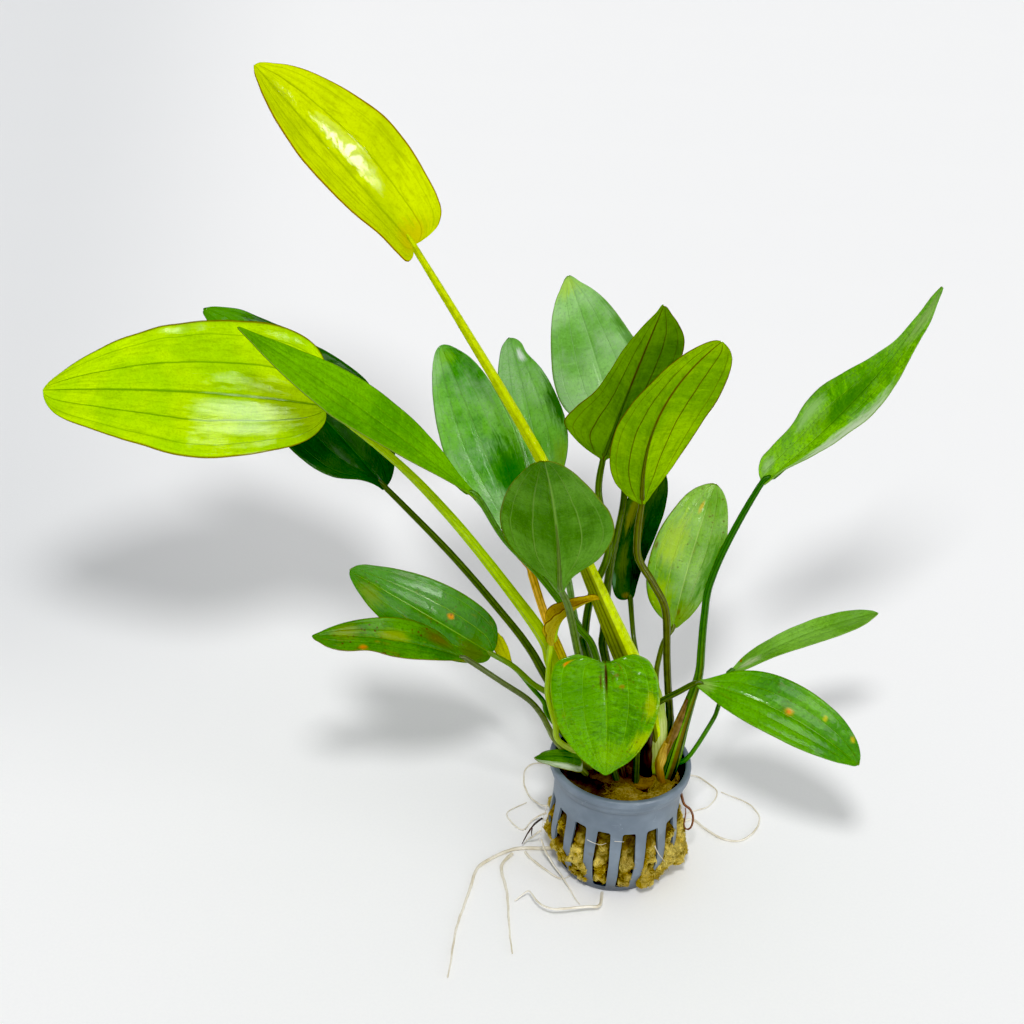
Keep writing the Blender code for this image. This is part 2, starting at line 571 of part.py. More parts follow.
def make_leaf(name, leaf):
    make_blade("leaf_" + name, leaf, LEAF_COLORS.get(name, GREEN))
    if "foot" not in leaf:
        return
    x, y, width = leaf["foot"]
    points = [(x, y, FEET, width), *leaf["stalk"]]
    end = Vector(leaf.get("joint", leaf["base"]))
    end -= (end - Vector(points[-1][:3])).normalized() * STALK_GAP
    points.append((*end, 1.4))
    make_stalk("stalk_" + name, points, STALK_COLORS.get(name, GREEN), leaf.get("flat", 1.0))


# Roots

def make_root(name, diameter, points):
    curve = bpy.data.curves.new("root_" + name, "CURVE")
    curve.dimensions = "3D"
    curve.bevel_depth = diameter / 2 * MM
    curve.bevel_resolution = 1
    curve.use_fill_caps = True
    length = sum((Vector(b) - Vector(a)).length for a, b in zip(points, points[1:]))
    stations = even_points(points, max(6, round(length / 7)))
    spline = curve.splines.new("POLY")
    spline.points.add(len(stations) - 1)
    lowest = diameter / 2 + ROOT_FLOOR
    for i, (point, (x, y, z)) in enumerate(zip(spline.points, stations)):
        point.co = (x * MM, y * MM, max(z, lowest) * MM, 1.0)
        point.radius = 1.0 - 0.55 * i / (len(stations) - 1)
    color = ROOT_COLORS.get(name, (0.72, 0.66, 0.5))
    curve.materials.append(make_material("root_" + name + " skin", color, 0.5))
    thing = bpy.data.objects.new("root_" + name, curve)
    bpy.context.scene.collection.objects.link(thing)


def main():
    clear_scene()
    make_pot()
    make_medium()
    make_crown()
    for name, leaf in LEAVES.items():
        make_leaf(name, leaf)
    make_stalk("dead_stalk", DEAD_STALK, (0.4, 0.2, 0.02), flat=0.7)
    for name, (diameter, points) in ROOTS.items():
        make_root(name, diameter, points)


main()
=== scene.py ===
# Looks of the potted echinodorus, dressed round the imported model.
# Places and sizes are written in millimetres and become metres when a piece is finished.
import random
from math import acos, atan2, cos, exp, hypot, pi, radians, sin

import bmesh
import bpy
from mathutils import Matrix, Vector, noise


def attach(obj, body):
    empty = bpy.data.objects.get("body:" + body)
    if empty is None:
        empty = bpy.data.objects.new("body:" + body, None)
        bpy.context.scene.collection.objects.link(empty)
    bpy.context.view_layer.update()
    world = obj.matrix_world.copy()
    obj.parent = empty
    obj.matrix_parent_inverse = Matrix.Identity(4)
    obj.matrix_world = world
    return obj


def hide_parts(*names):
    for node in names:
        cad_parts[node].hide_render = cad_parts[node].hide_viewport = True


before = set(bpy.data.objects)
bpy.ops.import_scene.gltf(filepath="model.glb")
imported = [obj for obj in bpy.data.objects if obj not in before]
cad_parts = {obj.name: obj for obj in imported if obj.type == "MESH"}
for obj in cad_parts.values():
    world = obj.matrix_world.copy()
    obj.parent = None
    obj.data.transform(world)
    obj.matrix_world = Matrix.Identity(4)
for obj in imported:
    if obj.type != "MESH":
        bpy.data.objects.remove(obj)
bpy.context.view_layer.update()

print("frame loaded with", len(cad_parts), "solids")

metre = 0.001            # one millimetre in metres
scene = bpy.context.scene


# Small helpers

def paint(red, green, blue):
    # a screen colour as the linear colour that the shader wants
    def linear(value):
        value /= 255
        return value / 12.92 if value <= 0.04045 else ((value + 0.055) / 1.055) ** 2.4
    return (linear(red), linear(green), linear(blue), 1.0)


def between(low, high, value):
    # 0 below low, 1 above high, smooth in the middle
    share = min(max((value - low) / (high - low), 0.0), 1.0)
    return share * share * (3 - 2 * share)


def wobble(*place):
    return noise.noise(Vector(place))


def smoothPoints(points, perSpan):
    # a Catmull-Rom curve through the points; widths and other values are smoothed too
    before = [2 * a - b for a, b in zip(points[0], points[1])]
    after = [2 * a - b for a, b in zip(points[-1], points[-2])]
    line = [before, *points, after]
    curve = []
    for i in range(1, len(line) - 2):
        for step in range(perSpan):
            t = step / perSpan
            curve.append([
                0.5 * (2 * b + (c - a) * t + (2 * a - 5 * b + 4 * c - d) * t ** 2
                       + (3 * b - a - 3 * c + d) * t ** 3)
                for a, b, c, d in zip(*line[i - 1:i + 3])
            ])
    curve.append(list(points[-1]))
    return curve


def evenPoints(points, count):
    # the smooth curve, read at evenly spaced places along its length
    fine = smoothPoints(points, 14)
    run = [0.0]
    for a, b in zip(fine, fine[1:]):
        run.append(run[-1] + (Vector(b[:3]) - Vector(a[:3])).length)
    picked, i = [], 0
    for step in range(count):
        want = run[-1] * step / (count - 1)
        while i < len(run) - 2 and run[i + 1] < want:
            i += 1
        share = (want - run[i]) / max(run[i + 1] - run[i], 1e-9)
        picked.append([a + (b - a) * share for a, b in zip(fine[i], fine[i + 1])])
    return picked


def pathLength(points):
    return sum((Vector(b[:3]) - Vector(a[:3])).length for a, b in zip(points, points[1:]))


def newVerts(made):
    return [item for item in made["geom"] if isinstance(item, bmesh.types.BMVert)]


def newEdges(made):
    return [item for item in made["geom"] if isinstance(item, bmesh.types.BMEdge)]


def meshObject(name, bm, outwards=True, unit=metre):
    # turns a bmesh into an object that isn't in the scene yet
    if outwards:
        bmesh.ops.recalc_face_normals(bm, faces=bm.faces)
    bmesh.ops.scale(bm, vec=(unit, unit, unit), verts=bm.verts)
    mesh = bpy.data.meshes.new(name)
    bm.to_mesh(mesh)
    bm.free()
    return bpy.data.objects.new(name, mesh)


def linkObject(item):
    scene.collection.objects.link(item)
    return item


def finishPiece(name, bm, surfaces, nodes=(), outwards=True):
    # turns a bmesh in millimetres into a piece of the plant
    piece = meshObject(name, bm, outwards)
    piece.data.shade_smooth()
    for surface in surfaces:
        piece.data.materials.append(surface)
    return placePiece(piece, nodes)


def placePiece(piece, nodes=()):
    linkObject(piece)
    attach(piece, "root")
    if nodes:
        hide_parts(*nodes)
    return piece


def writeUv(bm, where):
    # where: the share across and along for each vertex
    uvLayer = bm.loops.layers.uv.new("UVMap")
    for face in bm.faces:
        for loop in face.loops:
            loop[uvLayer].uv = where[loop.vert]


def ringAround(profile, steps):
    # a closed shape of revolution round the pot's axis; profile: points (radius, z)
    bm = bmesh.new()
    verts = [bm.verts.new((radius, 0, z)) for radius, z in profile]
    edges = [bm.edges.new(pair) for pair in zip(verts, verts[1:])]
    bmesh.ops.spin(bm, geom=verts + edges, cent=(0, 0, 0), axis=(0, 0, 1), angle=2 * pi,
                   steps=steps, use_merge=True)
    bmesh.ops.remove_doubles(bm, verts=bm.verts, dist=0.01)
    return bm


# Surfaces: short ways to put shader nodes together

def newSurface(name):
    material = bpy.data.materials.new(name)
    material.use_nodes = True
    tree = material.node_tree
    return material, tree, tree.nodes["Principled BSDF"]


def setPlugs(tree, node, plugs):
    # links a socket, and writes a number or colour straight into the node
    for key, value in plugs.items():
        if isinstance(value, bpy.types.NodeSocket):
            tree.links.new(value, node.inputs[key])
        else:
            node.inputs[key].default_value = value


def addNode(tree, kind, plugs=None, **settings):
    made = tree.nodes.new("ShaderNode" + kind)
    for key, value in settings.items():
        setattr(made, key, value)
    setPlugs(tree, made, plugs or {})
    return made


def calc(tree, operation, *values):
    return addNode(tree, "Math", dict(enumerate(values)), operation=operation).outputs[0]


def ease(tree, value, low, high, start=0.0, end=1.0):
    # start below low, end above high, smooth in the middle
    plugs = {0: value, 1: low, 2: high, 3: start, 4: end}
    return addNode(tree, "MapRange", plugs, interpolation_type="SMOOTHSTEP").outputs[0]


def mixColor(tree, share, first, second):
    plugs = {0: share, 6: first, 7: second}
    return addNode(tree, "Mix", plugs, data_type="RGBA").outputs[2]


def grain(tree, spot, scale, detail=3.0, rough=0.55, distortion=0.0):
    plugs = {"Vector": spot, "Scale": scale, "Detail": detail, "Roughness": rough,
             "Distortion": distortion}
    return addNode(tree, "TexNoise", plugs).outputs["Fac"]


def cells(tree, spot, scale):
    return addNode(tree, "TexVoronoi", {"Vector": spot, "Scale": scale}).outputs["Distance"]


def gapTo(tree, place, value):
    # how far the value is from the place, to either side
    return calc(tree, "ABSOLUTE", calc(tree, "SUBTRACT", value, place))


def objectSpot(tree):
    return addNode(tree, "TexCoord").outputs["Object"]


def splitUp(tree, vector):
    return addNode(tree, "SeparateXYZ", {0: vector}).outputs


def relief(tree, height, distance, strength=0.6):
    plugs = {"Height": height, "Distance": distance, "Strength": strength}
    return addNode(tree, "Bump", plugs).outputs[0]


# Camera

cameraLook = {
    "place": (-0.0467, -0.4294, 0.3903),
    "pitch": 28.9,       # degrees below the horizon
    "roll": 3.42,
    "lens": 50.0,
    "sensor": 36.0,
}


def makeCamera():
    pitch, roll = radians(cameraLook["pitch"]), radians(cameraLook["roll"])
    forward = Vector((0, cos(pitch), -sin(pitch)))
    level = Vector((1, 0, 0))
    upright = level.cross(forward)
    right = level * cos(roll) + upright * sin(roll)
    up = upright * cos(roll) - level * sin(roll)
    data = bpy.data.cameras.new("camera")
    data.lens = cameraLook["lens"]
    data.sensor_width = cameraLook["sensor"]
    data.clip_start, data.clip_end = 0.01, 50.0
    camera = bpy.data.objects.new("camera", data)
    turned = Matrix((right, up, -forward)).transposed().to_4x4()
    camera.matrix_world = Matrix.Translation(cameraLook["place"]) @ turned
    scene.camera = linkObject(camera)


makeCamera()
print("camera placed")


# Leaves. foot: (x, y, width) on the crown. stalk: (x, y, z, width) on the way up. base and tip:
# ends of the blade. face: where its upper side looks. left and right: half widths of the blade
# at the shares in bladeStations, seen from the upper side with the tip up. fold: degrees that
# a half rises from the midrib. wave: how far the margin swings, in mm.
bladeStations = (0.0, 0.04, 0.1, 0.2, 0.35, 0.5, 0.65, 0.8, 0.9, 0.96, 1.0)
leaves = {
    "tall": dict(
        foot=(9.5, -1, 5), stalk=[
            (12, -3, 61, 6), (5, -6, 86, 7.5), (-2, -8, 100, 8.5), (-19.5, -10, 138.5, 5.2),
            (-38.5, -11, 180.5, 3.8)],
        base=(-82, -5, 248), tip=(-127, -18, 302.5), fold=(48, 4), flat=0.55, lobe=3,
        left=(1.2, 9, 10, 10.5, 13.5, 14.8, 14.8, 12, 7.8, 4),
        right=(1.2, 12.5, 15.5, 17.3, 19.1, 18.9, 16.2, 12, 7.9, 4.1),
        face=(0.1, -0.8, 0.5), wave=0.6, ripple=1.1, look="yellow", stalkLook="faceted",
    ),
    "broad": dict(
        foot=(-6, 0.5, 4.6), stalk=[
            (-27, -1, 88, 5.4), (-32, -2, 102.5, 5), (-45.5, -4, 123.5, 4), (-66, -7, 152, 3.4),
            (-86.5, -8, 174.5, 2.8)],
        base=(-110, -8, 193), tip=(-194, -30, 203), fold=(4, 4), arch=6, flat=0.75, lobe=3,
        left=(1.2, 8.5, 13.5, 17.5, 21, 22, 19, 14.5, 11, 7.5),
        right=(1.2, 17, 22.5, 25.3, 25.5, 23.7, 19.8, 13.6, 8.8, 5),
        face=(0.1, -0.7, 0.7), wave=1.9, ripple=0.8, look="lime", stalkLook="lime",
    ),
    "long": dict(
        foot=(-1.5, 0.8, 2.6), stalk=[
            (-13, -4, 97, 2.6), (-21.5, -7, 113, 2.4), (-35.5, -13, 135.5, 2.2),
            (-48.5, -20, 153.5, 2)],
        base=(-58, -28, 173.5), tip=(-129, -45, 234), fold=(8, 8), arch=2,
        left=(0.8, 1.6, 2.6, 4.8, 8.2, 10.8, 11.6, 8.6, 5.4, 2.5),
        right=(0.8, 1.3, 2.6, 6, 9, 9.8, 8.4, 4.8, 2.4, 1.1),
        face=(0.65, -0.3, 0.7), wave=0.4, look="green", stalkLook="mossy",
    ),
    "shaded": dict(
        foot=(-9, 4, 3.4), stalk=[
            (-30.5, 5, 81.5, 3.2), (-37, 6, 92.5, 3), (-46.5, 7, 105, 2.8), (-68, 9, 130, 2.6)],
        base=(-91.5, 10, 154.5), tip=(-155, 22, 212), fold=(6, 6), arch=5,
        left=(1, 2.6, 6, 14, 18.1, 17.8, 13.5, 8, 4.4, 2.2),
        right=(1, 8.5, 13.4, 17.5, 20.8, 19.6, 17.1, 12.4, 8.3, 4.8),
        face=(0.2, -0.5, 0.8), wave=1.8, look="deep", stalkLook="dusk",
    ),
    "speckled": dict(
        foot=(1, 9, 2.6), stalk=[
            (-15.5, 7, 93, 2.6), (-19.5, 7, 103, 2.4), (-28.5, 8, 116, 2.2)],
        base=(-43, 10, 136), tip=(-74, 18, 206), fold=(6, 6), arch=3,
        left=(0.8, 3, 4.8, 7.6, 11, 13.4, 12.4, 9.6, 6.6, 4.1),
        right=(0.8, 3, 5.5, 8.5, 11.6, 12.6, 12, 10.3, 7.7, 4.5),
        face=(0.1, -0.9, 0.4), wave=0.4, look="wet", stalkLook="soft",
    ),
    "inner": dict(
        foot=(5, 10, 2.6), stalk=[
            (-17, 12, 89.5, 2.6), (-21.5, 15, 103.5, 2.4), (-25, 18, 118, 2.4)],
        base=(-33, 26, 141), tip=(-51, 38, 202), fold=(6, 6), arch=3,
        left=(0.8, 1.6, 3, 7, 10.8, 12, 11.2, 8.4, 6, 4),
        right=(0.8, 1.6, 3, 7.4, 11.2, 12.2, 10.9, 8, 4.4, 3.4),
        face=(0.2, -0.9, 0.4), wave=0.4, look="wetRound", stalkLook="soft",
    ),
    "upright": dict(
        foot=(7, 6, 3), stalk=[
            (-8.5, 10, 87.5, 3.2), (-10, 13, 99.5, 3), (-9.5, 20, 120.5, 2.8),
            (-6, 31, 143.5, 2.4)],
        base=(-7, 42, 159), tip=(-31.5, 52, 221), fold=(7, 7), arch=2,
        left=(1, 3, 6, 10.5, 16.6, 17.2, 15, 11.4, 7.6, 4),
        right=(1, 3, 6, 10.5, 16, 16.6, 14, 10.4, 6.5, 2.9),
        face=(0.1, -0.9, 0.3), wave=0.5, look="pale", stalkLook="dusk",
    ),
    "hood_back": dict(
        foot=(1.5, 4.5, 2.8), stalk=[
            (-16.5, 3.5, 94.5, 2.8), (-17.5, 4, 102.5, 2.8), (-16.5, 4.5, 118.5, 2.6),
            (-11.5, 8, 136.5, 2.6), (-16.5, 14, 154.5, 2.4)],
        base=(-16, 16, 168), tip=(-2, 4, 230), fold=(14, 20), arch=3,
        left=(0.8, 3.4, 6, 9, 11.5, 12.6, 13.4, 11.8, 7.4, 3.4),
        right=(0.9, 12, 17.4, 15.6, 10.8, 8.4, 6.6, 4.2, 2.2, 0.9),
        face=(0.1, 0.9, 0.3), wave=0.5, look="olive", stalkLook="oliveBrown",
    ),
    "hood_front": dict(
        foot=(14, 4, 3.2), stalk=[
            (17, 2, 64, 3), (16.5, 1, 71.5, 2.8), (14.5, 0, 84, 2.6), (12.5, -1, 98, 2.6),
            (10, -1, 117.5, 2.6), (4.5, 0, 128, 2.6), (-1.5, 1, 137.5, 2.6), (-2.5, 3, 147.5, 2.6)],
        base=(-2, 4, 158), tip=(15, -14, 226), fold=(12, 12), arch=3, bow=7,
        left=(0.8, 3.6, 6.8, 10.9, 14.5, 16.3, 16.9, 14.5, 11.2, 7.5),
        right=(0.8, 6, 9.7, 11.8, 11.8, 9.8, 7.4, 5.6, 4, 2.5),
        face=(0, 0.9, 0.3), wave=0.4, look="oliveLight", stalkLook="brown",
    ),
    "front_cup": dict(
        foot=(-1, -6.5, 2.6), stalk=[
            (-18, -14, 99.5, 2.6), (-20.5, -17.5, 107.5, 2.6), (-26, -32, 135.5, 2.5)],
        base=(-29.5, -41, 148.5), tip=(-38, -58, 203), fold=(16, 16), arch=4,
        left=(0.8, 2.2, 5, 12.5, 17.3, 16.6, 13, 9.2, 6.1, 3.6),
        right=(0.8, 4.3, 12, 19.4, 21.4, 19.2, 15.3, 9.9, 5.9, 2.9),
        face=(0.2, 0.9, 0.4), wave=0.4, look="cup", stalkLook="grey",
    ),
    "folded": dict(
        foot=(10, 9.5, 1.8), stalk=[
            (8, 13, 70, 1.8), (4.5, 16, 82.5, 1.8), (2, 21, 91.5, 1.7)],
        base=(0.5, 33, 100.5), tip=(7, 40, 155), fold=(10, 10), arch=2, bow=-3.5, lobe=2,
        left=(0.8, 5.4, 7, 8, 8.6, 8.8, 8.6, 7.2, 5.2, 3),
        right=(0.8, 1.8, 2.4, 3.4, 5, 6.6, 7.6, 7, 5.2, 3),
        face=(0.2, -0.9, 0.3), wave=0.4, look="inky", stalkLook="dusk",
    ),
    "patched": dict(
        foot=(14, 8, 2.2), stalk=[
            (12, 12, 72, 2), (11.5, 14, 80, 2), (12, 16, 84.5, 2), (13.5, 19, 91, 1.9)],
        base=(17, 24, 94), tip=(27, 34, 151), fold=(6, 6), arch=2, bow=-1.5,
        left=(0.7, 3.4, 7.5, 12.2, 15.1, 15.7, 14.9, 12, 9, 5.8),
        right=(0.8, 3, 5.4, 8, 10, 11, 11, 9, 6.8, 4.4),
        face=(0.1, -0.9, 0.3), wave=0.5, look="patched", stalkLook="drab",
    ),
    "right_high": dict(
        foot=(17.4, -2, 7), stalk=[
            (18.8, -3, 55, 7.2), (20.6, -3.4, 68, 5.8), (22.6, -4, 80, 4), (24.5, -4, 92.5, 3.1),
            (24, -4, 105, 2.8), (23.5, -4, 118, 2.6), (24, -3, 130.5, 2.5), (28.5, -3, 149, 2.4)],
        base=(37, -2, 171.5), tip=(80.5, -12, 247), fold=(12, -8), arch=-5, flat=0.8,
        left=(1, 7.6, 8.6, 10, 13.4, 9.8, 5, 2.0, 1.0, 0.5),
        right=(0.8, 1.2, 1.8, 4.4, 7.2, 8.9, 8.2, 5, 2.7, 1.2),
        face=(-0.5, -0.3, 0.6), wave=1.0, look="breezy", stalkLook="banded",
    ),
    "right_low": dict(
        foot=(6, -7, 2.6), stalk=[
            (4.5, -10, 77.5, 2.4), (11, -11, 85, 2.2), (17, -12, 90.5, 2.2)],
        base=(23, -12, 95), tip=(79, -34, 79.5), fold=(5, 5), arch=4, bow=-3,
        left=(0.8, 2, 4.4, 8.4, 11.5, 12.2, 11.5, 10, 7.4, 4.7),
        right=(0.8, 3, 5, 7.6, 9.7, 10.3, 9.7, 7.2, 4.6, 2.3),
        face=(0.2, -0.6, 0.8), wave=0.4, look="fresh", stalkLook="dusk",
    ),
    "right_thin": dict(
        foot=(17.5, 3.5, 2), stalk=[
            (22, 0, 48.5, 1.8), (26, -1, 53.5, 1.7), (33.5, 5, 65.5, 1.7), (35.5, 8, 70, 1.7)],
        base=(38.5, 13, 82.5), tip=(93, 26, 105), fold=(8, 8), arch=4,
        left=(0.8, 1.2, 2.6, 4.1, 4.7, 4.8, 5, 4.4, 3.3, 1.8),
        right=(0.8, 1.6, 3.1, 4, 5.2, 6.8, 7.7, 6.8, 4.8, 2.6),
        face=(-0.15, -0.15, 0.95), wave=0.3, look="even", stalkLook="bright",
    ),
    "left_high": dict(
        foot=(-12.5, 0.5, 2.4), stalk=[
            (-25, -2.5, 74.7, 2.2), (-30.5, -4.5, 81.5, 2.2), (-35.5, -5.5, 85.5, 2.2),
            (-43, -6, 93, 2.1)],
        base=(-51, -7, 98.5), tip=(-100, -21, 138.5), fold=(6, 6), arch=3, lobe=1.5,
        left=(0.8, 4.4, 6.2, 8.8, 10.8, 11.1, 10.2, 7.9, 5.2, 3),
        right=(0.8, 6.6, 10.1, 12.2, 12.9, 12.4, 10.9, 8.2, 5.7, 3.9),
        face=(0.2, -0.8, 0.55), wave=0.4, look="flecked", stalkLook="leftPale",
    ),
    "left_low": dict(
        foot=(-12.5, -3.5, 2.4), stalk=[
            (-25, -6, 60, 2.3), (-28.5, -9, 68.5, 2.2), (-32, -13, 78, 2.2), (-37, -18, 87.5, 2.1),
            (-46.5, -24, 98.5, 2)],
        base=(-59.5, -26, 109), tip=(-110, -41, 125), fold=(6, 6), arch=3, bow=1.5,
        left=(0.8, 1.4, 2.6, 4.2, 5.9, 6.4, 5.2, 5.9, 4.7, 2.6),
        right=(0.8, 1.7, 3.2, 6.3, 8, 7.8, 6.8, 4.8, 2.7, 1.2),
        face=(0.1, -0.5, 0.85), wave=0.4, look="brownish", stalkLook="leftGrey",
    ),
    "left_small": dict(
        foot=(-12, 4.5, 2), stalk=[
            (-28, 2, 65, 1.8), (-30.5, 2.5, 71.5, 1.8), (-35, 3, 77, 1.8), (-40.5, 3, 84, 1.7)],
        base=(-44, 4, 87), tip=(-49.5, 6, 99.5), fold=(20, 20),
        left=(0.6, 0.8, 1.2, 1.9, 3, 3.8, 4, 3.2, 2, 0.9),
        right=(0.6, 0.7, 0.9, 1.2, 1.5, 1.6, 1.4, 1, 0.6, 0.3),
        face=(0.3, -0.8, 0.4), wave=0.2, look="dull", stalkLook="mossy",
    ),
    "wilted": dict(
        foot=(-4.5, 3.5, 2.4), stalk=[
            (-23.5, -12.5, 64.5, 2.2), (-26.5, -14.5, 75, 2.1), (-30, -16, 88, 2),
            (-30.5, -18, 97.5, 2)],
        base=(-30.5, -20, 113.5), tip=(-16, -24, 136), fold=(58, 62), arch=5,
        left=(0.6, 1.8, 3, 4.2, 4.8, 4.5, 3.6, 2.4, 1.6, 1),
        right=(0.6, 1.8, 3, 4.2, 4.6, 4.2, 3.4, 2.2, 1.4, 0.9),
        face=(-0.6, -0.3, 0.6), wave=1.3, look="withered", stalkLook="cream",
    ),
    "heart": dict(
        foot=(2, -4.5, 2.6), stalk=[(-6.5, -9, 75, 2.4), (-9, -12, 91, 2.2), (-10.5, -16, 101, 2)],
        joint=(-11, -20, 106), base=(-11, -21, 107), tip=(-7.5, -30, 65), fold=(4, 4), arch=3,
        left=(1, 13.5, 16.6, 18.4, 18.4, 16.7, 13.8, 9.6, 5.8, 2.6),
        right=(1, 16, 18.8, 19.6, 18.8, 17.2, 13.9, 9.3, 5.2, 2.3),
        face=(0, -0.9, 0.4), lobe=4.5, wave=0.8, ripple=3.4, look="heart", stalkLook="umber",
    ),
    "rim": dict(
        base=(-15.5, -9, 55), tip=(-33, -15, 59.5), fold=(10, 10), arch=2,
        left=(0.8, 4, 6, 6.7, 6.4, 5.9, 5.1, 3.8, 2.8, 2),
        right=(0.5, 1.8, 2.6, 2.9, 2.6, 2.3, 2, 1.4, 0.8, 0.4),
        face=(0.1, -0.4, 0.9), wave=0.4, look="torn",
    ),
}

bladeLook = {
    "columns": 44,
    "rows": 120,
    "thickness": 1.1,        # under the midrib at the base
    "thin": 0.36,            # share of that away from the midrib
    "veins": (0.0, 0.42, 0.8, 1.0),   # where the long veins run, from midrib to margin
    "groove": 0.28,          # depth of the midrib's groove
    "pillow": 0.2,           # rise of the blade between two veins
    "ripple": 0.05,          # rise of the small cross folds
    "rippleLength": 3.4,
    "usualHalf": 12.0,       # half width at which the folds have their full rise
}


def halfWidth(leaf, side, u):
    # the half width at share u, smooth between the stations and round at both ends
    widths = list(leaf["left" if side < 0 else "right"]) + [0.0]
    spread = [acos(1 - 2 * s) / pi for s in bladeStations]
    here = acos(max(-1.0, min(1.0, 1 - 2 * u))) / pi
    i = 0
    while i < len(spread) - 2 and spread[i + 1] < here:
        i += 1
    t = (here - spread[i]) / (spread[i + 1] - spread[i])

    def slope(k):
        if k in (0, len(spread) - 1):
            a, b = (0, 1) if k == 0 else (k - 1, k)
        else:
            a, b = k - 1, k + 1
        return (widths[b] - widths[a]) / (spread[b] - spread[a])

    gap = spread[i + 1] - spread[i]
    low, high = widths[i], widths[i + 1]
    ahead, behind = slope(i) * gap, slope(i + 1) * gap
    width = (low * (2 * t ** 3 - 3 * t ** 2 + 1) + ahead * (t ** 3 - 2 * t ** 2 + t)
             + high * (3 * t ** 2 - 2 * t ** 3) + behind * (t ** 3 - t ** 2))
    return max(width, 0.05)


def bladeFrame(leaf, u):
    # middle of the blade at share u, with the directions along, across and up from it
    base, tip = Vector(leaf["base"]), Vector(leaf["tip"])
    axis = tip - base
    length = axis.length
    axis.normalize()
    face = Vector(leaf["face"])
    face = (face - axis * face.dot(axis)).normalized()
    side = axis.cross(face)
    arch, bow = leaf.get("arch", 0.0), leaf.get("bow", 0.0)
    hump, slope = 4 * u * (1 - u), 4 * (1 - 2 * u)
    middle = base + axis * (u * length) + face * (arch * hump) + side * (bow * hump)
    along = (axis * length + face * (arch * slope) + side * (bow * slope)).normalized()
    normal = (face - along * face.dot(along)).normalized()
    return middle, along, along.cross(normal), normal


def bladeLength(leaf):
    return (Vector(leaf["tip"]) - Vector(leaf["base"])).length


def bladeSway(leaf, u, v, half, seed):
    # how far the skin is above the plain fold: waves of the margin, pillows, cross folds, groove
    reach = abs(v)
    size = min(half / bladeLook["usualHalf"], 1.3)
    sideSeed = seed + (7.0 if v < 0 else 3.0)
    swing = wobble(u * 4.2, sideSeed, 0.4) + 0.45 * wobble(u * 11, sideSeed, 2.4)
    sway = leaf["wave"] * 1.6 * swing * reach ** 2.4 * min(4 * u, 1.0)
    veins = bladeLook["veins"]
    for a, b in zip(veins, veins[1:]):
        if a <= reach <= b:
            swell = sin(pi * (reach - a) / (b - a)) ** 0.8
            sway += bladeLook["pillow"] * size * swell * (0.4 if b == 1.0 else 1.0)
            turns = u * bladeLength(leaf) / bladeLook["rippleLength"] - 1.6 * reach
            turns += 1.3 * wobble(u * 9, v * 5, seed)
            uneven = 0.6 + 1.6 * wobble(u * 5, v * 3, seed + 5)
            ripple = leaf.get("ripple", 1.0) * bladeLook["ripple"]
            sway += ripple * size * swell * uneven * sin(2 * pi * turns)
    return sway - bladeLook["groove"] * exp(-(reach * half / 0.8) ** 2) * (1 - 0.6 * u)


def bladePlace(leaf, u, v, seed):
    # u runs from the base to the tip, v from the left edge, -1, to the right edge, 1
    middle, along, across, normal = bladeFrame(leaf, u)
    half = halfWidth(leaf, v, u)
    reach = abs(v)
    rise = radians(leaf["fold"][0 if v < 0 else 1])
    lift = half * sin(rise) * (0.35 * reach + 0.65 * reach ** 1.6)
    back = leaf.get("lobe", 0.0) * reach ** 1.4 * (1 - u) ** 5 * min(half / 10, 1.0)
    lift += bladeSway(leaf, u, v, half, seed)
    return middle + across * (half * v * cos(rise)) + normal * lift - along * back


def makeBlade(name, leaf, seed, surfaces):
    bm = bmesh.new()
    bmesh.ops.create_grid(
        bm, x_segments=bladeLook["columns"], y_segments=bladeLook["rows"], size=1.0)
    bulk = bm.verts.layers.deform.new()
    where = {}
    for vert in bm.verts:
        v = vert.co.x * (0.8 + 0.2 * vert.co.x ** 2)
        u = (1 - cos(pi * (vert.co.y + 1) / 2)) / 2
        where[vert] = ((v + 1) / 2, u)
        rib = exp(-(abs(v) * halfWidth(leaf, v, u) / 0.95) ** 2) * (1 - u) ** 0.6
        vert[bulk][0] = bladeLook["thin"] + (1 - bladeLook["thin"]) * rib
        vert.co = bladePlace(leaf, u, v, seed)
    writeUv(bm, where)
    tipRow = [vert for vert in bm.verts if where[vert][1] > 0.99999]
    bmesh.ops.pointmerge(bm, verts=tipRow, merge_co=tipRow[len(tipRow) // 2].co)
    blade = finishPiece("blade_" + name, bm, surfaces, ["leaf_" + name], outwards=False)
    solid = blade.modifiers.new("thickness", "SOLIDIFY")
    solid.thickness, solid.offset = bladeLook["thickness"] * metre, -1.0
    solid.vertex_group = blade.vertex_groups.new(name="bulk").name
    solid.material_offset = solid.material_offset_rim = 1


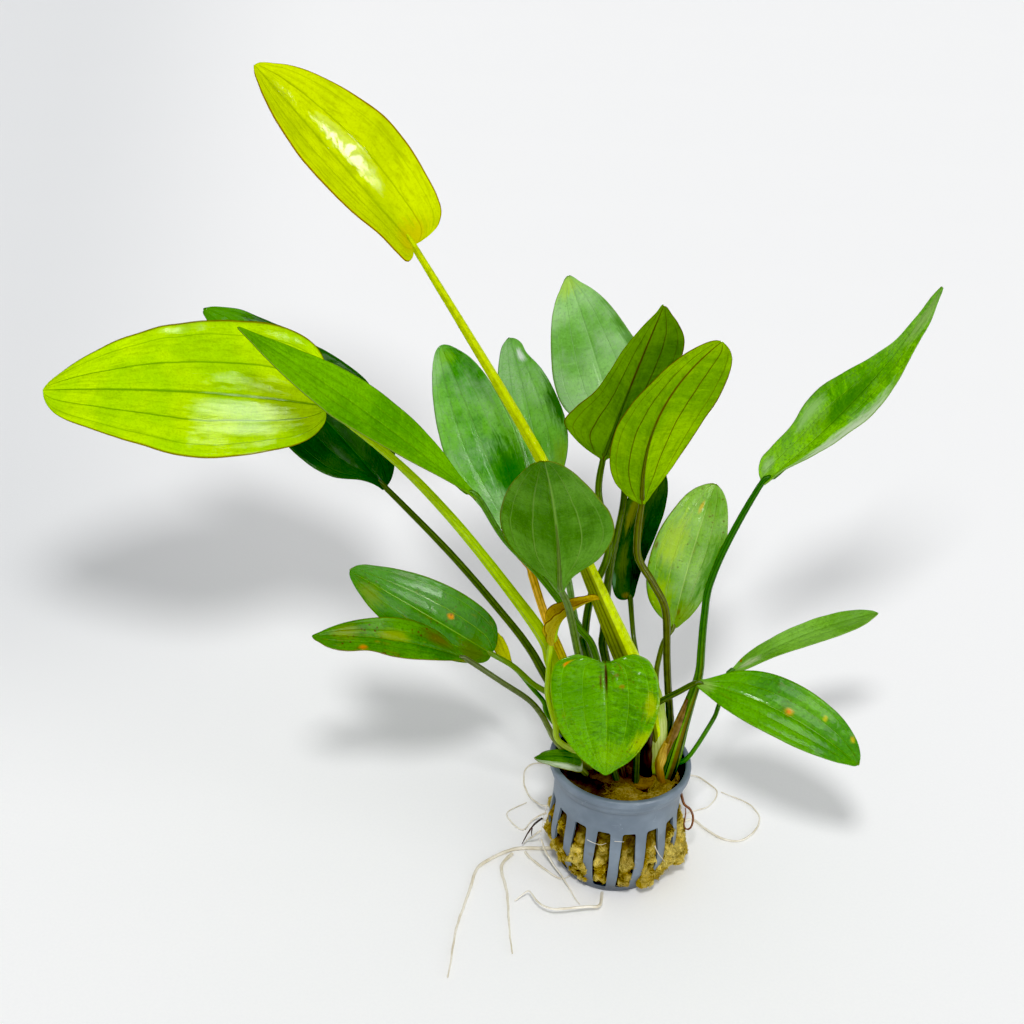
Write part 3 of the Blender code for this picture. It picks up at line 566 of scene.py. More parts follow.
# Leaf surfaces. color and second: the blade and its slow changes. under: its other side.
# vein and veins: colour and strength of the long veins. margin: the thin edge. The sheen's
# colour, strength and side: pale patches of painted sheen on the wet skin, most on that side.
leafLooks = {
    "yellow": dict(
        color=paint(207, 226, 2), second=paint(187, 207, 1), under=paint(176, 200, 10),
        vein=paint(150, 172, 2), veins=0.6, margin=paint(140, 84, 20), rough=0.42, coat=0.0,
        cross=0.05, grit=0.22, gloss=0.06),
    "lime": dict(
        color=paint(195, 236, 2), second=paint(169, 219, 1), under=paint(150, 190, 20),
        vein=paint(96, 150, 2), veins=0.85, margin=paint(126, 96, 20), rough=0.45, coat=0.0,
        cross=0.1, grit=0.28, gloss=0.08, film=0.2),
    "green": dict(
        color=paint(114, 180, 2), second=paint(87, 154, 1), under=paint(60, 96, 30),
        vein=paint(132, 180, 30), veins=0.35, margin=paint(120, 150, 50), rough=0.5, coat=0.02,
        cross=0.2, grit=0.5),
    "deep": dict(
        color=paint(40, 94, 2), second=paint(19, 69, 1), under=paint(50, 96, 20),
        vein=paint(50, 116, 26), veins=0.4, margin=paint(50, 100, 20), rough=0.4, coat=0.1,
        cross=0.1, grit=0.4),
    "inky": dict(
        color=paint(62, 99, 4), second=paint(31, 67, 2), under=paint(40, 80, 20),
        vein=paint(80, 100, 10), veins=0.5, margin=paint(30, 60, 10), rough=0.4, coat=0.1,
        cross=0.1, grit=0.4),
    "wet": dict(
        color=paint(117, 189, 60), second=paint(63, 142, 20), under=paint(80, 140, 60),
        vein=paint(130, 186, 90), veins=0.45, margin=paint(88, 130, 40), rough=0.36, coat=0.15,
        paintedSheen=paint(160, 204, 140), paintedSheenStrength=0.8, paintedSheenSide=-0.7, cross=0.12, grit=0.45),
    "wetRound": dict(
        color=paint(114, 182, 62), second=paint(71, 144, 23), under=paint(80, 140, 60),
        vein=paint(130, 190, 100), veins=0.4, margin=paint(40, 96, 10), rough=0.36, coat=0.15,
        paintedSheen=paint(160, 204, 140), paintedSheenStrength=0.8, paintedSheenSide=-0.4, cross=0.12, grit=0.45),
    "pale": dict(
        color=paint(146, 203, 109), second=paint(113, 178, 69), under=paint(120, 170, 80),
        vein=paint(160, 210, 130), veins=0.5, margin=paint(110, 150, 50), rough=0.4, coat=0.15,
        paintedSheen=paint(176, 214, 160), paintedSheenStrength=0.7, paintedSheenSide=-0.3, cross=0.2, grit=0.4),
    "olive": dict(
        color=paint(58, 100, 10), second=paint(52, 90, 8), under=paint(119, 165, 2),
        underSecond=paint(95, 140, 1), vein=paint(60, 100, 20), veins=0.4,
        underVein=paint(86, 56, 4), underVeins=0.95, margin=paint(104, 60, 20), rough=0.46,
        coat=0.03, cross=0.25, grit=0.35),
    "oliveLight": dict(
        color=paint(58, 110, 10), second=paint(52, 100, 8), under=paint(146, 190, 2),
        underSecond=paint(118, 166, 1), vein=paint(60, 110, 20), veins=0.4,
        underVein=paint(92, 60, 4), underVeins=1.0, margin=paint(116, 60, 20), rough=0.46,
        coat=0.03, cross=0.25, grit=0.35),
    "cup": dict(
        color=paint(60, 120, 20), second=paint(50, 108, 14), under=paint(94, 146, 44),
        underSecond=paint(67, 119, 21), vein=paint(80, 140, 40), veins=0.4,
        underVein=paint(132, 170, 76), underVeins=0.6, margin=paint(110, 120, 20), rough=0.4,
        coat=0.08, cross=0.2, grit=0.4),
    "patched": dict(
        color=paint(134, 186, 58), second=paint(96, 156, 20), under=paint(120, 160, 60),
        vein=paint(186, 220, 120), veins=0.6, margin=paint(110, 130, 20), rough=0.4, coat=0.1,
        paintedSheen=paint(176, 212, 140), paintedSheenStrength=0.5, paintedSheenSide=0.3, cross=0.15, grit=0.5),
    "fresh": dict(
        color=paint(96, 167, 2), second=paint(64, 136, 1), under=paint(150, 196, 120),
        vein=paint(140, 196, 50), veins=0.35, margin=paint(110, 150, 30), rough=0.42, coat=0.15,
        cross=0.25, grit=0.5),
    "breezy": dict(
        color=paint(137, 205, 23), second=paint(88, 163, 8), under=paint(150, 196, 120),
        vein=paint(150, 200, 80), veins=0.4, margin=paint(110, 150, 30), rough=0.4, coat=0.1,
        paintedSheen=paint(150, 200, 110), paintedSheenStrength=0.35, paintedSheenSide=-0.6, cross=0.35, grit=0.7),
    "even": dict(
        color=paint(128, 186, 61), second=paint(102, 161, 33), under=paint(150, 196, 120),
        vein=paint(130, 190, 60), veins=0.3, margin=paint(110, 150, 40), rough=0.45, coat=0.05,
        paintedSheen=paint(150, 200, 110), paintedSheenStrength=0.4, paintedSheenSide=-0.4, cross=0.2, grit=0.5),
    "flecked": dict(
        color=paint(63, 130, 2), second=paint(30, 92, 0), under=paint(96, 150, 50),
        vein=paint(150, 200, 60), veins=0.6, margin=paint(106, 130, 20), rough=0.36, coat=0.12,
        paintedSheen=paint(120, 180, 90), paintedSheenStrength=0.25, paintedSheenSide=1.0, cross=0.15, grit=0.6),
    "brownish": dict(
        color=paint(87, 148, 4), second=paint(57, 116, 2), under=paint(110, 140, 40),
        vein=paint(130, 164, 20), veins=0.3, margin=paint(120, 100, 16), rough=0.42, coat=0.08,
        cross=0.15, grit=0.6),
    "dull": dict(
        color=paint(209, 214, 40), second=paint(180, 185, 20), under=paint(130, 136, 34),
        vein=paint(160, 170, 50), veins=0.3, margin=paint(120, 96, 20), rough=0.5, coat=0.03,
        cross=0.1, grit=0.5),
    "withered": dict(
        color=paint(199, 185, 39), second=paint(169, 128, 18), under=paint(170, 158, 40),
        vein=paint(120, 80, 20), veins=0.5, margin=paint(90, 44, 10), rough=0.55, coat=0.02,
        cross=0.1, grit=0.6),
    "heart": dict(
        color=paint(100, 167, 1), second=paint(73, 137, 1), under=paint(110, 160, 50),
        vein=paint(140, 200, 20), veins=0.3, margin=paint(130, 170, 20), rough=0.4, coat=0.25,
        cross=0.5, grit=0.55, wrinkle=2.2),
    "torn": dict(
        color=paint(96, 148, 8), second=paint(60, 108, 4), under=paint(196, 214, 180),
        vein=paint(90, 136, 20), veins=0.4, margin=paint(110, 110, 20), rough=0.4, coat=0.1,
        cross=0.2, grit=0.5),
}

# Marks on the upper side: share along, side from -1 to 1, radius in mm, colour, strength, and
# how many times longer the mark is along the blade
leafMarks = {
    "tall": [(0.02, 0.0, 9, paint(200, 180, 2), 0.6, 1)],
    # the shaded leaf's lighter tip is painted light, where the tip rises out of the other leaves'
    # shadow
    "shaded": [(0.95, 0.2, 16, paint(90, 160, 10), 0.9, 1)],
    "speckled": [
        (0.35, 0.5, 7, paint(24, 96, 6), 0.85, 3), (0.95, 0.0, 4, paint(130, 190, 20), 0.5, 1)],
    "upright": [
        (0.97, -0.4, 6, paint(170, 206, 30), 0.6, 1), (0.6, 0.95, 4, paint(60, 120, 10), 0.7, 5)],
    "inner": [
        (0.6, 0.9, 4.5, paint(20, 80, 4), 0.85, 3), (0.3, 0.8, 5, paint(120, 150, 6), 0.5, 2),
        (0.9, 0.45, 1.6, paint(226, 236, 226), 0.8, 2)],
    "patched": [
        (0.6, -0.55, 7, paint(176, 206, 40), 0.6, 2.2), (0.2, -0.6, 6, paint(150, 186, 6), 0.8, 2),
        (0.1, 0.5, 6, paint(120, 150, 6), 0.6, 1.5), (0.85, -0.2, 1.1, paint(206, 180, 50), 0.9, 3),
        (0.12, 0.1, 1, paint(110, 80, 10), 0.7, 2), (0.55, -0.92, 1.2, paint(100, 70, 10), 0.7, 2),
        (0.45, 0.8, 5.5, paint(60, 124, 10), 0.85, 4), (0.9, 0.3, 5, paint(84, 150, 20), 0.6, 1.5)],
    "right_low": [
        (0.53, -0.1, 2.1, paint(206, 160, 4), 0.9, 1.2),
        (0.53, -0.1, 1.1, paint(220, 130, 10), 0.9, 1.2),
        (0.72, -0.57, 1.4, paint(200, 190, 20), 0.8, 1),
        (0.9, -0.8, 1.4, paint(200, 180, 20), 0.8, 1),
        (0.03, 0.0, 3, paint(176, 206, 110), 0.5, 2)],
    "right_high": [
        (0.36, 1.0, 3.6, paint(196, 216, 176), 1.0, 9),
        (0.9, 0.2, 3.0, paint(160, 196, 110), 0.7, 5),
        (0.05, -0.5, 3, paint(170, 204, 140), 0.6, 1.5),
        (0.3, -0.7, 3.4, paint(160, 206, 120), 0.8, 3), (0.45, -0.1, 5, paint(56, 120, 2), 0.7, 4)],
    "right_thin": [
        (0.14, 0.2, 2, paint(196, 214, 160), 0.8, 3), (0.1, -0.7, 0.9, paint(150, 70, 10), 0.8, 1)],
    "left_high": [
        (0.37, 0.3, 1.6, paint(214, 140, 2), 0.95, 1.2), (0.72, 0.85, 2, paint(70, 110, 4), 0.5, 3),
        (0.12, -0.5, 6, paint(84, 96, 4), 0.75, 2), (0.85, -0.5, 4, paint(130, 150, 4), 0.5, 2)],
    "left_low": [
        (0.7, -0.8, 1.3, paint(216, 130, 6), 0.9, 2), (0.5, 0.2, 3, paint(150, 160, 6), 0.6, 2.5),
        (0.2, 0.6, 3.4, paint(96, 84, 4), 0.75, 2.5), (0.8, 0.3, 3.5, paint(140, 150, 6), 0.5, 2),
        (0.1, 0.0, 3, paint(60, 100, 4), 0.6, 3)],
    "heart": [
        (0.66, -0.9, 5.0, paint(180, 204, 2), 0.65, 1.3),
        (0.36, -0.85, 3.6, paint(176, 190, 4), 0.6, 1.8),
        (0.05, 0.82, 1.0, paint(206, 170, 4), 0.8, 1.2),
        (0.05, 0.82, 0.6, paint(214, 110, 4), 0.8, 1.2),
        (0.1, 0.0, 1.0, paint(60, 30, 2), 1.0, 9), (0.14, 0.1, 0.6, paint(80, 44, 2), 0.9, 7),
        (0.1, -0.22, 1.6, paint(110, 100, 4), 0.7, 0.5),
        (0.19, -0.3, 1.4, paint(150, 120, 4), 0.7, 0.6),
        (0.3, 0.5, 12, paint(70, 136, 1), 0.5, 1), (0.8, -0.2, 9, paint(136, 190, 4), 0.5, 1)],
    "folded": [
        (0.03, -0.4, 1.8, paint(150, 130, 8), 0.6, 1.2),
        (0.63, -0.5, 2.6, paint(130, 136, 4), 0.85, 4),
        (0.3, -0.45, 2.6, paint(90, 110, 4), 0.7, 4), (0.45, 0.1, 1.6, paint(120, 126, 6), 0.7, 8),
        (0.5, -0.95, 1.6, paint(2, 26, 2), 0.9, 12),
        (0.18, -0.9, 1.6, paint(110, 160, 110), 0.7, 3)],
    "rim": [(0.4, -0.8, 2.2, paint(208, 220, 190), 0.95, 7)],
}
# wet patches that shine: share along, side, radius in mm, strength, times longer along the blade
leafWet = {
    "tall": [(0.52, 0.24, 4.2, 1.0, 4.5), (0.86, 0.1, 1.6, 0.6, 6)],
    "broad": [(0.3, -0.4, 15, 0.75, 1.6), (0.34, 0.2, 2.2, 0.3, 4.0), (0.52, 0.95, 3.0, 0.8, 5),
              (0.17, 0.9, 3.0, 0.8, 3)],
    "speckled": [(0.6, 0.3, 7, 1.0, 2.5), (0.85, -0.2, 4, 0.6, 2)],
    "inner": [(0.7, 0.2, 6, 0.9, 2)],
    "upright": [(0.5, 0.3, 7, 0.5, 3)],
    "patched": [(0.75, -0.3, 5, 0.7, 2), (0.3, 0.2, 5, 0.7, 2)],
    "left_high": [(0.5, 0.5, 5, 0.35, 3.5)],
    "right_low": [(0.4, -0.3, 6, 0.2, 3)],
    "right_high": [(0.3, -0.4, 4, 0.6, 5)],
    "heart": [(0.6, 0.2, 10, 0.35, 1)],
    "shaded": [(0.2, -0.3, 6, 0.4, 2)],
}
leafFlecks = {"left_low": 0.9, "left_high": 0.5, "patched": 0.55, "heart": 0.45, "right_low": 0.3}


def patchShare(tree, leaf, across, along, streaks, mark):
    # 1 in the middle of a mark on the blade and 0 outside it
    u, v, radius, strength, stretch = mark
    offSide = calc(tree, "MULTIPLY", calc(tree, "SUBTRACT", across, v), halfWidth(leaf, v, u))
    offAlong = calc(tree, "MULTIPLY", calc(tree, "SUBTRACT", along, u), bladeLength(leaf) / stretch)
    apart = calc(tree, "SQRT", calc(tree, "ADD", calc(tree, "MULTIPLY", offSide, offSide),
                                    calc(tree, "MULTIPLY", offAlong, offAlong)))
    apart = calc(tree, "MULTIPLY_ADD", calc(tree, "SUBTRACT", streaks, 0.5), radius * 1.5, apart)
    return ease(tree, apart, radius * 0.2, radius, strength, 0.0)


def leafSurface(name, leaf, look, marks=(), underneath=False, flecks=0.0, wet=()):
    material, tree, shader = newSurface(name)
    spot = objectSpot(tree)
    sideways, along, _ = splitUp(tree, addNode(tree, "UVMap", uv_map="UVMap").outputs[0])
    across = calc(tree, "MULTIPLY_ADD", sideways, 2.0, -1.0)
    side = calc(tree, "ABSOLUTE", across)
    length = bladeLength(leaf)
    width = max(leaf["left"]) + max(leaf["right"])

    slow = grain(tree, spot, 42, 3)
    drift = calc(tree, "SUBTRACT", grain(tree, spot, 95, 2), 0.5)
    fine = grain(tree, spot, 1300, 4, 0.65)
    bent = calc(tree, "MULTIPLY_ADD", drift, 0.045, side)
    # streaks of the skin, which run along the blade
    run = addNode(tree, "CombineXYZ", {
        0: calc(tree, "MULTIPLY", sideways, width * 0.75),
        1: calc(tree, "MULTIPLY", along, length * 0.14), 2: length})
    streaks = grain(tree, run.outputs[0], 1.0, 4, 0.62, 0.5)

    # long veins, which follow the outline from the base to the tip
    veins = None
    for place, lineWidth, weight in ((0.0, 0.034, 1.0), (0.42, 0.02, 0.85), (0.8, 0.016, 0.5)):
        gap = gapTo(tree, place, bent if place else side)
        line = ease(tree, gap, 0.0, lineWidth, weight, 0.0)
        veins = line if veins is None else calc(tree, "MAXIMUM", veins, line)

    # small cross veins between them, about a millimetre apart
    rows = addNode(tree, "CombineXYZ", {
        0: calc(tree, "MULTIPLY", sideways, width * 0.16),
        1: calc(tree, "MULTIPLY_ADD", side, -2.6, calc(tree, "MULTIPLY", along, length * 0.62)),
        2: length + 40})
    cross = grain(tree, rows.outputs[0], 1.0, 3, 0.6, 0.35)

    color = look["under"] if underneath else look["color"]
    second = look.get("underSecond", look["under"]) if underneath else look["second"]
    veinColor = look.get("underVein", look["vein"]) if underneath else look["vein"]
    strength = look.get("underVeins", look["veins"]) if underneath else look["veins"]
    deeper = tuple(channel * 0.45 for channel in second[:3]) + (1.0,)
    lighter = tuple(min(channel * 1.35, 1.0) for channel in color[:3]) + (1.0,)

    paintwork = mixColor(tree, ease(tree, slow, 0.4, 0.62), color, second)
    paintwork = mixColor(tree, ease(tree, streaks, 0.42, 0.78, 0.0, 0.45), paintwork, deeper)
    # pale patches of painted sheen on the wet skin, strongest on one side
    if "paintedSheen" in look and not underneath:
        lean = calc(
            tree, "MULTIPLY_ADD", across, 0.14 * look["paintedSheenSide"], grain(tree, spot, 60, 4, 0.6))
        lean = calc(tree, "MULTIPLY_ADD", streaks, 0.3, lean)
        paintedSheen = ease(tree, lean, 0.52, 0.86, 0.0, look["paintedSheenStrength"])
        paintedSheen = calc(tree, "MULTIPLY", paintedSheen, ease(tree, fine, 0.35, 0.6, 0.45, 1.0))
        paintwork = mixColor(tree, paintedSheen, paintwork, look["paintedSheen"])
    for pattern, start, end, most, tone in (
            (cross, 0.5, 0.72, look["cross"], deeper), (cross, 0.5, 0.28, look["cross"], lighter),
            (fine, 0.5, 0.72, look["grit"], deeper),
            (fine, 0.48, 0.3, 0.6 * look["grit"], lighter)):
        paintwork = mixColor(tree, ease(tree, pattern, start, end, 0.0, most), paintwork, tone)
    paintwork = mixColor(tree, calc(tree, "MULTIPLY", veins, strength), paintwork, veinColor)
    for u, v, radius, markColor, *rest in marks:
        patch = patchShare(tree, leaf, across, along, streaks, (u, v, radius, *rest))
        paintwork = mixColor(tree, patch, paintwork, markColor)
    if flecks:
        rare = ease(tree, grain(tree, spot, 110, 3), 0.47, 0.6)
        dots = ease(tree, cells(tree, spot, 520), 0.12, 0.3, 1.0, 0.0)
        stain = ease(tree, streaks, 0.56, 0.7)
        for share, most, tone in (
                (dots, flecks, paint(84, 44, 2)), (stain, 0.6 * flecks, paint(150, 140, 4))):
            share = calc(tree, "MULTIPLY", calc(tree, "MULTIPLY", share, rare), most)
            paintwork = mixColor(tree, share, paintwork, tone)
    edge = ease(tree, calc(tree, "MULTIPLY_ADD", drift, 0.02, side), 0.965, 0.99, 0.0, 0.8)
    paintwork = mixColor(tree, edge, paintwork, look["margin"])

    rough = look["rough"] + (0.1 if underneath else 0.0)
    shine = look["coat"] * (0.4 if underneath else 1.0)
    for mark in wet:
        patch = patchShare(tree, leaf, across, along, streaks, mark)
        shine = calc(tree, "MAXIMUM", patch, shine)
    height = calc(tree, "MULTIPLY", veins, 0.6 if underneath else -0.6)
    for pattern, rise in ((cross, 0.5 + look.get("wrinkle", 0.0)), (fine, 0.45), (streaks, 0.4)):
        height = calc(tree, "MULTIPLY_ADD", pattern, rise, height)
    setPlugs(tree, shader, {
        "Base Color": paintwork, "Coat Weight": shine, "Coat Roughness": look.get("film", 0.1),
        "Roughness": ease(tree, grain(tree, spot, 240, 3), 0.3, 0.7, rough - 0.06, rough + 0.12),
        "Specular IOR Level": look.get("gloss", 0.15), "Normal": relief(tree, height, 0.0005, 0.7)})
    return material


# Stalks. low and high: colours at the foot and at the blade. stripe: colour of the ribs' lines.
stalkLooks = {
    # the faceted stalk's left facet is painted darker: painted shade
    "faceted": dict(
        low=paint(214, 242, 20), high=paint(205, 225, 2), stripe=paint(84, 92, 2), stripes=12,
        part=0.9, rough=0.3, facets=0.2, paintedShadeFacetColor=paint(132, 146, 2)),
    "lime": dict(
        low=paint(182, 203, 40), high=paint(164, 201, 10), stripe=paint(112, 150, 6), stripes=7,
        part=0.4, rough=0.32),
    "soft": dict(
        low=paint(131, 164, 52), high=paint(133, 177, 88), stripe=paint(70, 116, 24), stripes=6,
        part=0.5, rough=0.35),
    "mossy": dict(
        low=paint(98, 122, 20), high=paint(82, 138, 22), stripe=paint(50, 72, 6), stripes=6,
        part=0.5, rough=0.35),
    "dusk": dict(
        low=paint(90, 108, 14), high=paint(74, 99, 8), stripe=paint(34, 38, 4), stripes=6,
        part=0.5, rough=0.32),
    "umber": dict(
        low=paint(112, 98, 20), high=paint(108, 96, 14), stripe=paint(50, 40, 4), stripes=6,
        part=0.5, rough=0.35),
    "drab": dict(
        low=paint(104, 116, 34), high=paint(104, 122, 40), stripe=paint(60, 66, 10), stripes=6,
        part=0.5, rough=0.35),
    "brown": dict(
        low=paint(81, 100, 12), high=paint(91, 102, 14), stripe=paint(54, 42, 6), stripes=6,
        part=0.6, rough=0.36),
    "oliveBrown": dict(
        low=paint(68, 105, 6), high=paint(80, 113, 6), stripe=paint(46, 46, 4), stripes=6,
        part=0.6, rough=0.36),
    "grey": dict(
        low=paint(104, 124, 50), high=paint(94, 122, 44), stripe=paint(50, 70, 16), stripes=7,
        part=0.6, rough=0.35),
    "bright": dict(
        low=paint(76, 140, 20), high=paint(70, 120, 26), stripe=paint(40, 80, 10), stripes=5,
        part=0.4, rough=0.32),
    "banded": dict(
        low=paint(116, 160, 10), high=paint(46, 106, 6), stripe=paint(30, 60, 4), stripes=7,
        part=0.5, rough=0.32, bands=((-0.22, 0.06, paint(14, 16, 4)), (0.3, 0.2, paint(110, 84, 6)),
                                     (0.62, 0.12, paint(30, 26, 4)))),
    "leftPale": dict(
        low=paint(198, 213, 124), high=paint(103, 141, 35), stripe=paint(96, 110, 30), stripes=6,
        part=0.45, rough=0.35),
    "leftGrey": dict(
        low=paint(160, 178, 94), high=paint(90, 105, 53), stripe=paint(60, 60, 30), stripes=6,
        part=0.5, rough=0.38),
    "cream": dict(
        low=paint(210, 221, 140), high=paint(160, 198, 24), stripe=paint(150, 164, 30), stripes=6,
        part=0.4, rough=0.4),
    "orange": dict(
        low=paint(166, 195, 10), high=paint(234, 189, 56), stripe=paint(140, 104, 10), stripes=7,
        part=0.5, rough=0.6, turn=(0.4, 0.8)),
}


def stalkSurface(name):
    look = stalkLooks[name]
    material, tree, shader = newSurface("stalk " + name)
    spot = objectSpot(tree)
    skin = addNode(tree, "Attribute", attribute_name="skin").outputs["Vector"]
    right, front, share = splitUp(tree, skin)
    around = calc(tree, "ARCTAN2", front, right)
    drift = calc(tree, "SUBTRACT", grain(tree, spot, 60, 2), 0.5)
    lines = calc(tree, "MULTIPLY_ADD", around, float(look["stripes"]),
                 calc(tree, "MULTIPLY", drift, 1.6))
    lines = ease(tree, calc(tree, "SINE", lines), 0.1, 0.9)
    fine = grain(tree, spot, 420, 3)
    turn = ease(tree, share, *look.get("turn", (0.02, 0.5)))
    body = mixColor(tree, turn, look["low"], look["high"])
    marks = calc(tree, "MULTIPLY", lines, look["part"])
    if "facets" in look:
        # the left facet carries painted shade and is striped, the right one plain
        shadedLeftFacet = ease(tree, right, 0.24, 0.32, 1.0, 0.0)
        shadedLeftFacet = calc(tree, "MULTIPLY", shadedLeftFacet, ease(tree, share, 0.3, 0.6, 1.0, 0.15))
        body = mixColor(tree, shadedLeftFacet, body, look["paintedShadeFacetColor"])
        marks = calc(tree, "MULTIPLY", marks, calc(tree, "MULTIPLY_ADD", shadedLeftFacet, 0.9, 0.06))
    body = mixColor(tree, marks, body, look["stripe"])
    for place, wide, bandColor in look.get("bands", ()):
        # dark bands near the foot
        band = ease(tree, gapTo(tree, place, right), 0.5 * wide, 1.5 * wide, 0.9, 0.0)
        band = calc(tree, "MULTIPLY", band, ease(tree, share, 0.1, 0.42, 1.0, 0.0))
        body = mixColor(tree, band, body, bandColor)
    body = mixColor(tree, ease(tree, fine, 0.4, 0.75, 0.0, 0.35), body, look["stripe"])
    height = calc(tree, "MULTIPLY_ADD", lines, -0.5, calc(tree, "MULTIPLY", fine, 0.4))
    setPlugs(tree, shader, {
        "Base Color": body, "Coat Weight": 0.1, "Coat Roughness": 0.15, "Specular IOR Level": 0.2,
        "Roughness": ease(tree, fine, 0.3, 0.7, look["rough"] - 0.05, look["rough"] + 0.15),
        "Normal": relief(tree, height, 0.0003)})
    return material


tubeSpacing = 1.6        # between the rings of a stalk


def makeTube(name, points, surface, node, flat, flatEnd=None, sides=20, ribs=6,
             ribDepth=0.06, ragged=0.0, facets=0.0):
    # a ribbed tube along points of (x, y, z, width), as deep as flat times its width
    count = max(12, round(pathLength(points) / tubeSpacing))
    stations = evenPoints(points, count)
    places = [Vector(station[:3]) for station in stations]
    flatEnd = flat if flatEnd is None else flatEnd
    bm = bmesh.new()
    skin = bm.verts.layers.float_vector.new("skin")
    bmesh.ops.create_circle(bm, cap_ends=False, segments=sides, radius=1.0)
    rings, edges = [list(bm.verts)], bm.edges[:]
    for _ in stations[1:]:
        made = bmesh.ops.extrude_edge_only(bm, edges=edges)
        rings.append(newVerts(made))
        edges = newEdges(made)
    for i, (ring, station) in enumerate(zip(rings, stations)):
        along = (places[min(i + 1, count - 1)] - places[max(i - 1, 0)]).normalized()
        across = along.cross(Vector((0, -1, 0))).normalized()
        front = across.cross(along)
        share = i / (count - 1)
        radius = max(station[3] / 2, 0.12)
        depth = flat + (flatEnd - flat) * share
        for vert in ring:
            right, forward = vert.co.x, vert.co.y
            angle = atan2(forward, right)
            grow = 1 + ribDepth * cos(ribs * angle) + 0.04 * wobble(
                station[2] / 9, right * 0.8, forward * 0.8)
            grow += facets * cos(3 * (angle - radians(72))) * (1 - 0.6 * share)
            slip = right + 1.4 * wobble(right * 3, forward, 3)
            slip *= ragged * between(0.88, 1.0, share)
            vert[skin] = (right, forward, share)
            vert.co = (places[i] + across * (right * radius * grow)
                       + front * (forward * radius * depth * grow) + along * slip)
    bmesh.ops.holes_fill(bm, edges=bm.edges, sides=0)
    finishPiece(name, bm, [surface], [node])


footHeight = 43.3
stalkSurfaces = {name: stalkSurface(name) for name in stalkLooks}


def makeStalk(name, leaf):
    x, y, width = leaf["foot"]
    points = [(x, y, footHeight, width), *leaf["stalk"]]
    end = Vector(leaf.get("joint", leaf["base"]))
    points.append((*end, 2.0))
    if "joint" not in leaf:
        # the midrib goes on under the blade and thins out
        for u, thick in ((0.04, 1.7), (0.1, 1.5), (0.2, 1.2), (0.35, 0.8), (0.5, 0.4)):
            middle, _, _, normal = bladeFrame(leaf, u)
            points.append((*(middle - normal * (0.55 + 0.5 * thick)), thick))
    look = stalkLooks[leaf["stalkLook"]]
    flat = leaf.get("flat", 1.0)
    makeTube(
        "petiole_" + name, points, stalkSurfaces[leaf["stalkLook"]],
        "stalk_" + name, flat, flatEnd=max(flat, 0.85),
        ribs=look["stripes"], ribDepth=0.03 if "facets" in look else 0.06,
        facets=look.get("facets", 0.0), sides=48 if width > 4 else 20)


for number, (name, leaf) in enumerate(leaves.items()):
    look = leafLooks[leaf["look"]]
    flecks = leafFlecks.get(name, 0.0)
    upper = leafSurface("upper " + name, leaf, look, leafMarks.get(name, ()), flecks=flecks,
                        wet=leafWet.get(name, ()))
    under = leafSurface("under " + name, leaf, look, underneath=True)
    makeBlade(name, leaf, number * 3.7, [upper, under])
    if "foot" in leaf:
        makeStalk(name, leaf)
print("leaves and stalks made:", len(leaves))

deadStalk = [
    (-3.5, -3, footHeight, 3), (-26, -8, 100.5, 3), (-31.5, -9, 113.5, 2.9), (-35, -9, 123, 2.8),
    (-39.5, -9, 136, 2.6), (-42.5, -9, 139, 1.4),
]
makeTube("withered_petiole", deadStalk, stalkSurfaces["orange"], "dead_stalk", 0.7,
         ribs=5, ribDepth=0.12, ragged=2.0)
print("dead stalk made")


# Net pot
pot = {
    "height": 50.0, "rim": 27.0, "foot": 19.5, "collar": 24.3, "belly": 25.3, "bellyHeight": 19.0,
    "wall": 1.2, "floor": 2.0, "slots": 16, "slotTurn": 9.5, "slotBottom": 4.2, "slotTop": 33.0,
    "slotWidths": (5.0, 6.2, 4.9), "corner": 0.9, "drains": 8, "steps": 192, "edge": 0.22,
    "paintedShadeBelow": 48.5,       # below this the inside carries painted shade
    "cut": (14, 18),         # where the shape that cuts a slot starts, and its length
    "drain": (8.0, 3.2, 11.5),        # length and width of a slot in the floor, and its place
}


def wallRadius(z):
    if z < pot["bellyHeight"]:
        return pot["foot"] + (pot["belly"] - pot["foot"]) * sin(z / pot["bellyHeight"] * pi / 2)
    t = min((z - pot["bellyHeight"]) / (pot["slotTop"] - pot["bellyHeight"]), 1.0)
    return pot["belly"] + (pot["collar"] - pot["belly"]) * (1 - cos(t * pi)) / 2


def slotAngle(index):
    return radians(pot["slotTurn"] - 90 + index * 360 / pot["slots"])


def slotHalf(z):
    low, middle, high = pot["slotWidths"]
    if z < pot["bellyHeight"]:
        share = (z - pot["slotBottom"]) / (pot["bellyHeight"] - pot["slotBottom"])
        return 0.5 * (low + (middle - low) * share)
    share = (z - pot["bellyHeight"]) / (pot["slotTop"] - pot["bellyHeight"])
    return 0.5 * (middle + (high - middle) * share)


def potProfile():
    rim, collar, height, wall = pot["rim"], pot["collar"], pot["height"], pot["wall"]
    heights = [1.5 + 31.5 * i / 24 for i in range(25)]
    outside = [(0, 0), (pot["foot"] - 0.7, 0), (pot["foot"] - 0.2, 0.2)]
    outside += [(wallRadius(z), z) for z in heights]
    outside += [
        (collar, 36), (collar, 40), (collar + 0.15, 42), (collar + 0.5, 43.2),
        (collar + 0.9, 43.6), (rim - 1.3, 43.8), (rim - 1.05, 44.1), (rim - 0.9, 46.2),
        (rim - 0.85, 46.6), (rim - 0.3, 46.8), (rim - 0.05, 47.05), (rim, 47.5),
        (rim, height - 0.9), (rim - 0.12, height - 0.35), (rim - 0.4, height - 0.06),
        (rim - 0.8, height)]
    inside = [
        (rim - 1.7, height), (rim - 2.0, height - 0.15), (rim - 2.3, height - 0.7),
        (rim - 2.8, 46), (collar - wall + 0.3, 42.2), (collar - wall, 40)]
    inside += [(wallRadius(z) - wall, z) for z in reversed(heights[1:])]
    inside += [(wallRadius(pot["floor"]) - wall - 0.4, pot["floor"]), (0, pot["floor"])]
    return outside + inside


